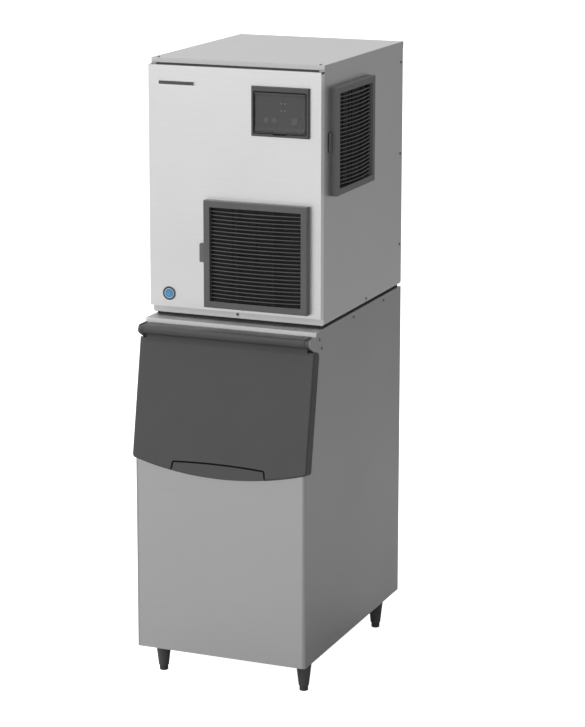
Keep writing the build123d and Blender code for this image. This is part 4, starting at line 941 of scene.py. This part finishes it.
@dataclass
class CabinetScrews(SubAssembly):
    """Pan-head screws with cross recesses, in place of the CAD's plain heads.

    Attributes:
        radius: Head radius.
        height: Head height.
        crown: Outline of the head's side, as shares of its radius and height.
        flat: Radius of the flat on top.
        arm: Half width of a recess arm.
        reach: Length of a recess arm.
        recess: Depth of the recess.
        taper: Size of the recess's floor beside its rim.
        sides: Facets around the head.
    """

    radius: float = 4.4 * MM
    height: float = 2.1 * MM
    crown: tuple[tuple[float, float], ...] = ((1.0, 0.0), (1.0, 0.35), (0.94, 0.68), (0.82, 0.90))
    flat: float = 3.0 * MM
    arm: float = 0.45 * MM
    reach: float = 2.1 * MM
    recess: float = 1.0 * MM
    taper: float = 0.8
    sides: int = 24
    dressing = {"cabinet_screws": "screw_steel"}

    def add_pieces(self) -> None:
        """Put one modelled head at each CAD head."""
        whole = bmesh.new()
        heads = self._heads()
        for seat, outward in heads:
            turn = outward.to_track_quat("Z", "Y").to_matrix().to_4x4()
            self._head(whole, Matrix.Translation(seat) @ turn)
        made = self.moulder.piece("cross_head_screws", whole, "screw_steel", "cabinet", "cabinet_screws")
        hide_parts("cabinet_screws")
        LOG.info("%d screw heads", len(heads))

    def _heads(self) -> list[tuple[Vector, Vector]]:
        """Find the seat and direction of each CAD head.

        Returns:
            Seat centre and outward direction of each head.
        """
        mesh = welded(self.nodes["cabinet_screws"].data)
        low, high = (Vector(corner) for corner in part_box("cabinet_screws"))
        found = []
        seen: set[BMVert] = set()
        for first in mesh.verts:
            if first in seen:
                continue
            island, open_verts = {first}, [first]
            while open_verts:
                for edge in open_verts.pop().link_edges:
                    fresh = set(edge.verts) - island
                    island |= fresh
                    open_verts += fresh
            seen |= island
            found.append(self._seat([vert.co.copy() for vert in island], (low + high) / 2))
        mesh.free()
        return found

    def _seat(self, points: list[Vector], middle: Vector) -> tuple[Vector, Vector]:
        """Work out a head's seat from its vertices.

        Args:
            points: The head's vertices.
            middle: The middle of all the heads, which every head faces away from.

        Returns:
            Seat centre and outward direction.
        """
        low = Vector([min(point[axis] for point in points) for axis in range(3)])
        high = Vector([max(point[axis] for point in points) for axis in range(3)])
        thin = min(range(3), key=lambda axis: high[axis] - low[axis])
        seat = (low + high) / 2
        outward = Vector(NOWHERE)
        outward[thin] = math.copysign(1.0, seat[thin] - middle[thin])
        seat[thin] = low[thin] if outward[thin] > 0 else high[thin]
        return seat, outward

    def _head(self, mesh: BMesh, place: Matrix) -> None:
        """Add one head.

        Args:
            mesh: Mesh that takes it.
            place: Where it goes, with the head's axis along local Z.
        """
        profile = [(out * self.radius, up * self.height) for out, up in self.crown]
        profile.append((self.flat, self.height))
        turns = [2 * math.pi * step / self.sides for step in range(self.sides)]
        rings = [[mesh.verts.new(place @ Vector((radius * math.cos(turn), radius * math.sin(turn), height)))
                  for turn in turns] for radius, height in profile]
        for lower, upper in zip(rings, rings[1:]):
            join_loops(mesh, lower, upper)
        mesh.faces.new(rings[0][::-1])
        cross = [Matrix.Rotation(quarter * math.pi / 2, 3, "Z") @ Vector((x, y, 0.0))
                 for quarter in range(4)
                 for x, y in ((self.reach, -self.arm), (self.reach, self.arm), (self.arm, self.arm))]
        top, bottom = Vector((0.0, 0.0, self.height)), Vector((0.0, 0.0, self.height - self.recess))
        rim = [mesh.verts.new(place @ (point + top)) for point in cross]
        floor = [mesh.verts.new(place @ (point * self.taper + bottom)) for point in cross]
        join_loops(mesh, rim, floor)
        mesh.faces.new(floor)
        edges = self._loop(mesh, rings[-1]) + self._loop(mesh, rim)
        bmesh.ops.triangle_fill(mesh, use_beauty=True, use_dissolve=False, edges=edges)

    @staticmethod
    def _loop(mesh: BMesh, verts: list[BMVert]) -> list[BMEdge]:
        """Give the edges of a closed loop of vertices."""
        return [mesh.edges.get((first, second)) for first, second in zip(verts, verts[1:] + verts[:1])]


@dataclass
class IntakeLouvres(SubAssembly):
    """The two bowed louvres with their slide-out filters.

    Attributes:
        front_width: Width of the front louvre without its tab.
        side_width: Width of the side louvre without its tab.
        border: Width of the louvre's frame.
        ends_stand: How far the slats' ends stand before the panel's face.
        bow: How far the slats' middle stands before their ends.
        shade_depth: How far the painted shade between the slats takes to its full strength.
    """

    front_width: float = 336.0 * MM
    side_width: float = 318.0 * MM
    border: float = 20.0 * MM
    ends_stand: float = 13.8 * MM
    bow: float = 14.0 * MM
    shade_depth: float = 4.5 * MM
    dressing = {
        "front_louvre": "front_louvre_plastic", "side_louvre": "side_louvre_plastic",
        "front_air_filter": "front_filter_plastic", "side_air_filter": "side_filter_plastic",
    }


@dataclass
class ControlWindow(SubAssembly):
    """Bezel, smoked lid with a dark border, and the controls seen faintly through it.

    Attributes:
        border: Width of the lid's border.
        rise: Height of the border above the lid.
        corner: Corner radius of the border.
    """

    border: float = 2.4 * MM
    rise: float = 0.12 * MM
    corner: float = 3.0 * MM
    dressing = {
        "control_bezel": "bezel_plastic", "control_lid": "lid_plastic",
        "control_face": "controls_plastic", "start_button": "button_plastic",
        "stop_button": "button_plastic", "reset_button": "button_plastic",
        "electrical_box": "zinc_plate",
    }

    def add_pieces(self) -> None:
        """Add the lid's border."""
        low, high = (Vector(corner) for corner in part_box("control_lid"))
        shape = FlatRing(low, high, self.corner, self.border, self.rise)
        self.moulder.piece("lid_border", shape.mesh(), "lid_rim_and_groove_shade", "lid", "control_lid")


@dataclass
class FrontPlates(SubAssembly):
    """The bare name plate with its pale rim, and the ringed badge.

    Attributes:
        rim: Width of the plate's rim.
        rise: Height of the rim above the plate.
        corner: Corner radius.
    """

    rim: float = 0.8 * MM
    rise: float = 0.35 * MM
    corner: float = 2.0 * MM
    dressing = {"name_plate": "plate_plastic", "round_badge": "badge"}

    def add_pieces(self) -> None:
        """Add the plate's rim."""
        low, high = (Vector(corner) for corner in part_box("name_plate"))
        shape = FlatRing(low, high, self.corner, self.rim, self.rise)
        self.moulder.piece("name_plate_rim", shape.mesh(), "plate_rim", "cabinet", "name_plate")


@dataclass
class IceColumn(SubAssembly):
    """Gear motor, freezing cylinder, auger, extruder, cutter, spout, chute and paddle."""

    dressing = {
        "gear_motor": "black_enamel", "lower_housing": "cast_brass", "freezing_cylinder": "turned_steel",
        "evaporator_jacket": "black_foam", "auger": "turned_steel", "extruding_head": "cast_brass",
        "ice_cutter": "turned_steel", "ice_spout": "white_moulding", "drop_chute": "white_moulding",
        "full_bin_paddle": "gland_nylon",
    }


@dataclass
class Refrigeration(SubAssembly):
    """Condenser, fan, compressor and pipes."""

    dressing = {
        "condenser": "finned_aluminium", "fan_shroud": "zinc_plate", "fan_motor": "black_enamel",
        "fan_blade": "finned_aluminium", "compressor": "black_enamel",
        "compressor_grommets": "gasket_rubber", "refrigerant_pipes": "drawn_copper",
    }


@dataclass
class WaterCircuit(SubAssembly):
    """Tank, float, inlet valve, hoses, drains, and the cord's gland."""

    dressing = {
        "water_tank": "white_moulding", "tank_cover": "white_moulding", "tank_float": "white_moulding",
        "inlet_valve": "cast_brass", "water_hoses": "clear_hose", "drain_fittings": "gland_nylon",
        "cord_gland": "gland_nylon",
    }


@dataclass
class BinInside(SubAssembly):
    """Liner, insulation and the gasket under the maker."""

    dressing = {
        "bin_liner": "white_moulding", "bin_insulation": "cabinet_foam", "head_gasket": "gasket_rubber",
    }


@dataclass
class BinDoor(SubAssembly):
    """The sloping door with its core and hinge blocks, and the grip's pad inside a groove with a dark sheet
    of painted shade.

    Attributes:
        recess: Depth of the grip's recess.
        slack: How far the depth found may be from it.
        groove: Width of the groove round the pad.
        pad: Thickness of the pad.
        shade_sheet: Height of the dark sheet painted as shade in the groove.
        downward: Share of down in a direction that counts as down.
        frontward: Share of front in a direction that counts as front.
        parallel: Cosine above which two faces count as parallel.
        flatness: Angle under which neighbouring faces count as one.
    """

    recess: float = 3.0 * MM
    slack: float = 0.3 * MM
    groove: float = 5.6 * MM
    pad: float = 2.7 * MM
    shade_sheet: float = 0.2 * MM
    downward: float = 0.6
    frontward: float = 0.5
    parallel: float = 0.999
    flatness: float = math.radians(0.3)
    dressing = {
        "bin_door": "door_plastic", "door_core": "white_moulding", "hinge_blocks": "door_plastic",
    }

    def add_pieces(self) -> None:
        """Add the grip's pad, and a dark sheet of painted shade in the groove, on the floor of the recess.
        """
        mesh = welded(self.nodes["bin_door"].data, self.flatness)
        floor = self._recess_floor(mesh)
        outward = floor.normal.copy()
        outline = [vert.co.copy() for vert in floor.verts]
        mesh.free()
        pad, rim = self._inset(outline)
        bmesh.ops.delete(pad, geom=rim, context="FACES")
        self._thicken(pad, outward * self.pad)
        self.moulder.piece("grip_pad", pad, "door_plastic", "door", "bin_door")
        # Painted shade: a dark sheet along the groove round the pad.
        groove, rim = self._inset(outline)
        inside = [face for face in groove.faces if face not in rim]
        bmesh.ops.delete(groove, geom=inside, context="FACES")
        self._thicken(groove, outward * self.shade_sheet)
        self.moulder.piece("grip_groove_shade", groove, "lid_rim_and_groove_shade", "door", "bin_door")

    @staticmethod
    def _thicken(mesh: BMesh, rise: Vector) -> None:
        """Turn flat faces into a closed plate.

        Args:
            mesh: The flat faces.
            rise: How far, and which way, the plate rises.
        """
        raised = bmesh.ops.extrude_face_region(mesh, geom=list(mesh.faces))
        verts = [item for item in raised["geom"] if isinstance(item, BMVert)]
        bmesh.ops.translate(mesh, verts=verts, vec=rise)
        bmesh.ops.recalc_face_normals(mesh, faces=mesh.faces)

    def _is_lower(self, face: BMFace) -> bool:
        """Tell whether a rim's face is at the door's lower edge.

        Args:
            face: A face of the rim.

        Returns:
            Whether its outer edge looks down.
        """
        border = next(edge for edge in face.edges if edge.is_boundary)
        out = (border.verts[0].co + border.verts[1].co) / 2 - face.calc_center_median()
        return out.z < -self.downward * out.length

    def _inset(self, outline: list[Vector]) -> tuple[BMesh, list[BMFace]]:
        """Make a face with a rim as wide as the groove, which is open at the door's lower edge.

        Args:
            outline: Corners of the face.

        Returns:
            The mesh and the rim's faces, without the lower ones.
        """
        mesh = bmesh.new()
        face = mesh.faces.new([mesh.verts.new(point) for point in outline])
        face.normal_update()
        rim = bmesh.ops.inset_region(mesh, faces=[face], thickness=self.groove, use_even_offset=True,
                                     use_boundary=True)
        return mesh, [face for face in rim["faces"] if not self._is_lower(face)]

    def _recess_floor(self, mesh: BMesh) -> BMFace:
        """Find the floor of the grip's recess.

        Args:
            mesh: The door's mesh with flat faces merged.

        Returns:
            The floor.
        """
        front = max((face for face in mesh.faces if face.normal.y < -self.frontward),
                    key=lambda face: face.calc_area())
        place = front.calc_center_median()

        def depth(face: BMFace) -> float:
            """Say how far a face lies behind the front."""
            return (place - face.calc_center_median()).dot(front.normal)

        floors = [face for face in mesh.faces if face.normal.dot(front.normal) > self.parallel
                  and abs(depth(face) - self.recess) < self.slack]
        return max(floors, key=lambda face: face.calc_area())


@dataclass
class LegsAndFeet(SubAssembly):
    """Tapered legs with screw feet."""

    dressing = {
        "legs": "leg_plastic", "foot_1": "foot_rubber", "foot_2": "foot_rubber",
        "foot_3": "foot_rubber", "foot_4": "foot_rubber",
    }


# Studio


@dataclass(frozen=True)
class CameraSpec:
    """Pinhole camera of the photograph, told from the cabinet's front.

    Attributes:
        position: Place from the middle of the maker's front edge at floor level, in metres.
        yaw: Turn to the left of the depth axis, in radians.
        pitch: Downward tilt.
        roll: Turn about the view axis.
        focal_px: Focal length in pixels of the photograph's frame.
        shift: Horizontal and vertical lens shift, as shares of the longer side.
    """

    position: Triple
    yaw: float
    pitch: float
    roll: float
    focal_px: float
    shift: tuple[float, float]


@dataclass(frozen=True)
class LampSpec:
    """One soft area lamp.

    Attributes:
        name: The lamp's name.
        position: Where it stands, in metres.
        target: The point that it faces, in metres.
        size: Width and height, in metres.
        power: Strength in watts.
    """

    name: str
    position: Triple
    target: Triple
    size: tuple[float, float]
    power: float


CAMERA = CameraSpec(
    position=(3.04307, -7.00297, 2.84910),
    yaw=0.40075,
    pitch=0.20973,
    roll=0.0017,
    focal_px=2583.87,
    shift=(0.04495, -0.1),
)

LAMPS = (
    LampSpec("key", (-3.4, -3.6, 3.0), (0.0, 0.0, 1.1), (3.0, 3.0), 150.0),
    LampSpec("top", (-0.6, 0.6, 4.4), (0.0, 0.0, 1.6), (3.0, 3.0), 70.0),
    LampSpec("fill", (2.4, -4.6, 2.2), (0.2, 0.0, 1.2), (2.6, 2.6), 60.0),
)


@dataclass(frozen=True)
class StudioLook:
    """Brightness of the floor and the surroundings.

    Attributes:
        floor: Colour of the floor.
        floor_roughness: Its roughness.
        floor_specular: Its specular level.
        floor_lift: Light that the floor adds towards the camera, for a white sweep.
        floor_size: Side of the floor, in metres.
        bright_side: Direction of the bright half of the surroundings.
        dark: Strength of the surroundings on the dark side.
        middle: Strength between the two.
        bright: Strength on the bright side.
        ends: Where the dark and the bright strength are reached, from side to side.
    """

    floor: Colour = grey(172)
    floor_roughness: float = 0.9
    floor_specular: float = 0.1
    floor_lift: float = 1.0
    floor_size: float = 60.0
    bright_side: Triple = (-0.92, -0.38, 0.10)
    dark: float = 0.28
    middle: float = 0.74
    bright: float = 1.55
    ends: tuple[float, float] = (0.1, 0.9)


@dataclass
class Studio:
    """Floor, surroundings, lamps and camera.

    Attributes:
        camera: The main camera.
        lamps: The studio lamps.
        look: Floor and surroundings.
        far: Farthest distance that the camera shows, in metres.
    """

    camera: CameraSpec
    lamps: tuple[LampSpec, ...]
    look: StudioLook
    far: float = 100.0

    def build(self) -> None:
        """Create everything."""
        self._floor()
        self._surroundings()
        for lamp in self.lamps:
            self._lamp(lamp)
        self._camera()
        bpy.context.scene.view_settings.view_transform = "Standard"

    def _floor(self) -> None:
        """Lay the pale floor, which shows as a white sweep with soft shadows."""
        bpy.ops.mesh.primitive_plane_add(size=self.look.floor_size, location=(0.0, 0.0, 0.0))
        floor = bpy.context.object
        floor.name = "floor"
        material = bpy.data.materials.new("pale_floor")
        material.use_nodes = True
        tree = material.node_tree
        path = tree.nodes.new("ShaderNodeLightPath")
        lift = add_node(tree, "Math", {0: path.outputs["Is Camera Ray"], 1: self.look.floor_lift},
                        operation="MULTIPLY")
        inputs = tree.nodes["Principled BSDF"].inputs
        for label, value in (("Base Color", self.look.floor), ("Roughness", self.look.floor_roughness),
                             ("Specular IOR Level", self.look.floor_specular), ("Emission Color", WHITE)):
            inputs[label].default_value = value
        tree.links.new(lift.outputs["Value"], inputs["Emission Strength"])
        floor.data.materials.append(material)

    def _surroundings(self) -> None:
        """Light the scene softly from one side, with a plain white backdrop."""
        world = bpy.data.worlds.new("studio")
        world.use_nodes = True
        tree = world.node_tree
        direction = tree.nodes.new("ShaderNodeTexCoord").outputs["Generated"]
        dot = add_node(tree, "VectorMath", {0: direction, 1: self.look.bright_side},
                       operation="DOT_PRODUCT")
        half = add_node(tree, "Math", {0: dot.outputs["Value"], 1: 0.5, 2: 0.5}, operation="MULTIPLY_ADD")
        ramp = add_node(tree, "ValToRGB", {"Fac": half.outputs["Value"]})
        ramp.color_ramp.interpolation = "EASE"
        stops = ramp.color_ramp.elements
        for stop, position, level in zip(stops, self.look.ends, (self.look.dark, self.look.bright)):
            stop.position, stop.color = position, shade(WHITE, level)
        stops.new(0.5).color = shade(WHITE, self.look.middle)
        path = tree.nodes.new("ShaderNodeLightPath")
        backdrop = add_node(tree, "Mix", {"A": ramp.outputs["Color"], "B": WHITE,
                                          "Factor": path.outputs["Is Camera Ray"]}, data_type="RGBA")
        tree.links.new(backdrop.outputs["Result"], tree.nodes["Background"].inputs["Color"])
        bpy.context.scene.world = world

    @staticmethod
    def _lamp(spec: LampSpec) -> None:
        """Place one area lamp.

        Args:
            spec: The lamp.
        """
        data = bpy.data.lights.new(spec.name, "AREA")
        data.shape = "RECTANGLE"
        data.size, data.size_y = spec.size
        data.energy = spec.power
        lamp = bpy.data.objects.new(spec.name, data)
        lamp.location = spec.position
        lamp.visible_glossy = False
        aim = Vector(spec.target) - Vector(spec.position)
        lamp.rotation_euler = aim.to_track_quat("-Z", "Y").to_euler()
        bpy.context.scene.collection.objects.link(lamp)

    def _camera(self) -> None:
        """Place the camera at the photograph's viewpoint."""
        spec = self.camera
        low, high = (Vector(corner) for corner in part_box("head_top_panel"))
        origin = Vector(((low.x + high.x) / 2, low.y, 0.0))
        data = bpy.data.cameras.new("main")
        data.sensor_width = SENSOR_MM
        data.sensor_height = SENSOR_MM
        data.sensor_fit = "AUTO"
        data.lens = SENSOR_MM * spec.focal_px / max(PHOTO_WIDTH, PHOTO_HEIGHT)
        data.shift_x, data.shift_y = spec.shift
        data.clip_end = self.far
        camera = bpy.data.objects.new("main", data)
        camera.location = origin + Vector(spec.position)
        camera.rotation_euler = (math.pi / 2 - spec.pitch, spec.roll, spec.yaw)
        bpy.context.scene.collection.objects.link(camera)
        bpy.context.scene.camera = camera


def main() -> None:
    """Build the machine's looks and the studio."""
    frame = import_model()
    moulder = Moulder(Palette(Effects()))
    groups = (SheetPanels, CabinetScrews, IntakeLouvres, ControlWindow, FrontPlates, IceColumn,
              Refrigeration, WaterCircuit, BinInside, BinDoor, LegsAndFeet)
    dressed = 0
    for group in groups:
        part = group(moulder, frame["nodes"])
        part.build()
        dressed += len(part.dressing)
    LOG.info("%d of %d nodes dressed", dressed, len(frame["nodes"]))
    Studio(CAMERA, LAMPS, StudioLook()).build()


if __name__ == "__main__":
    main()
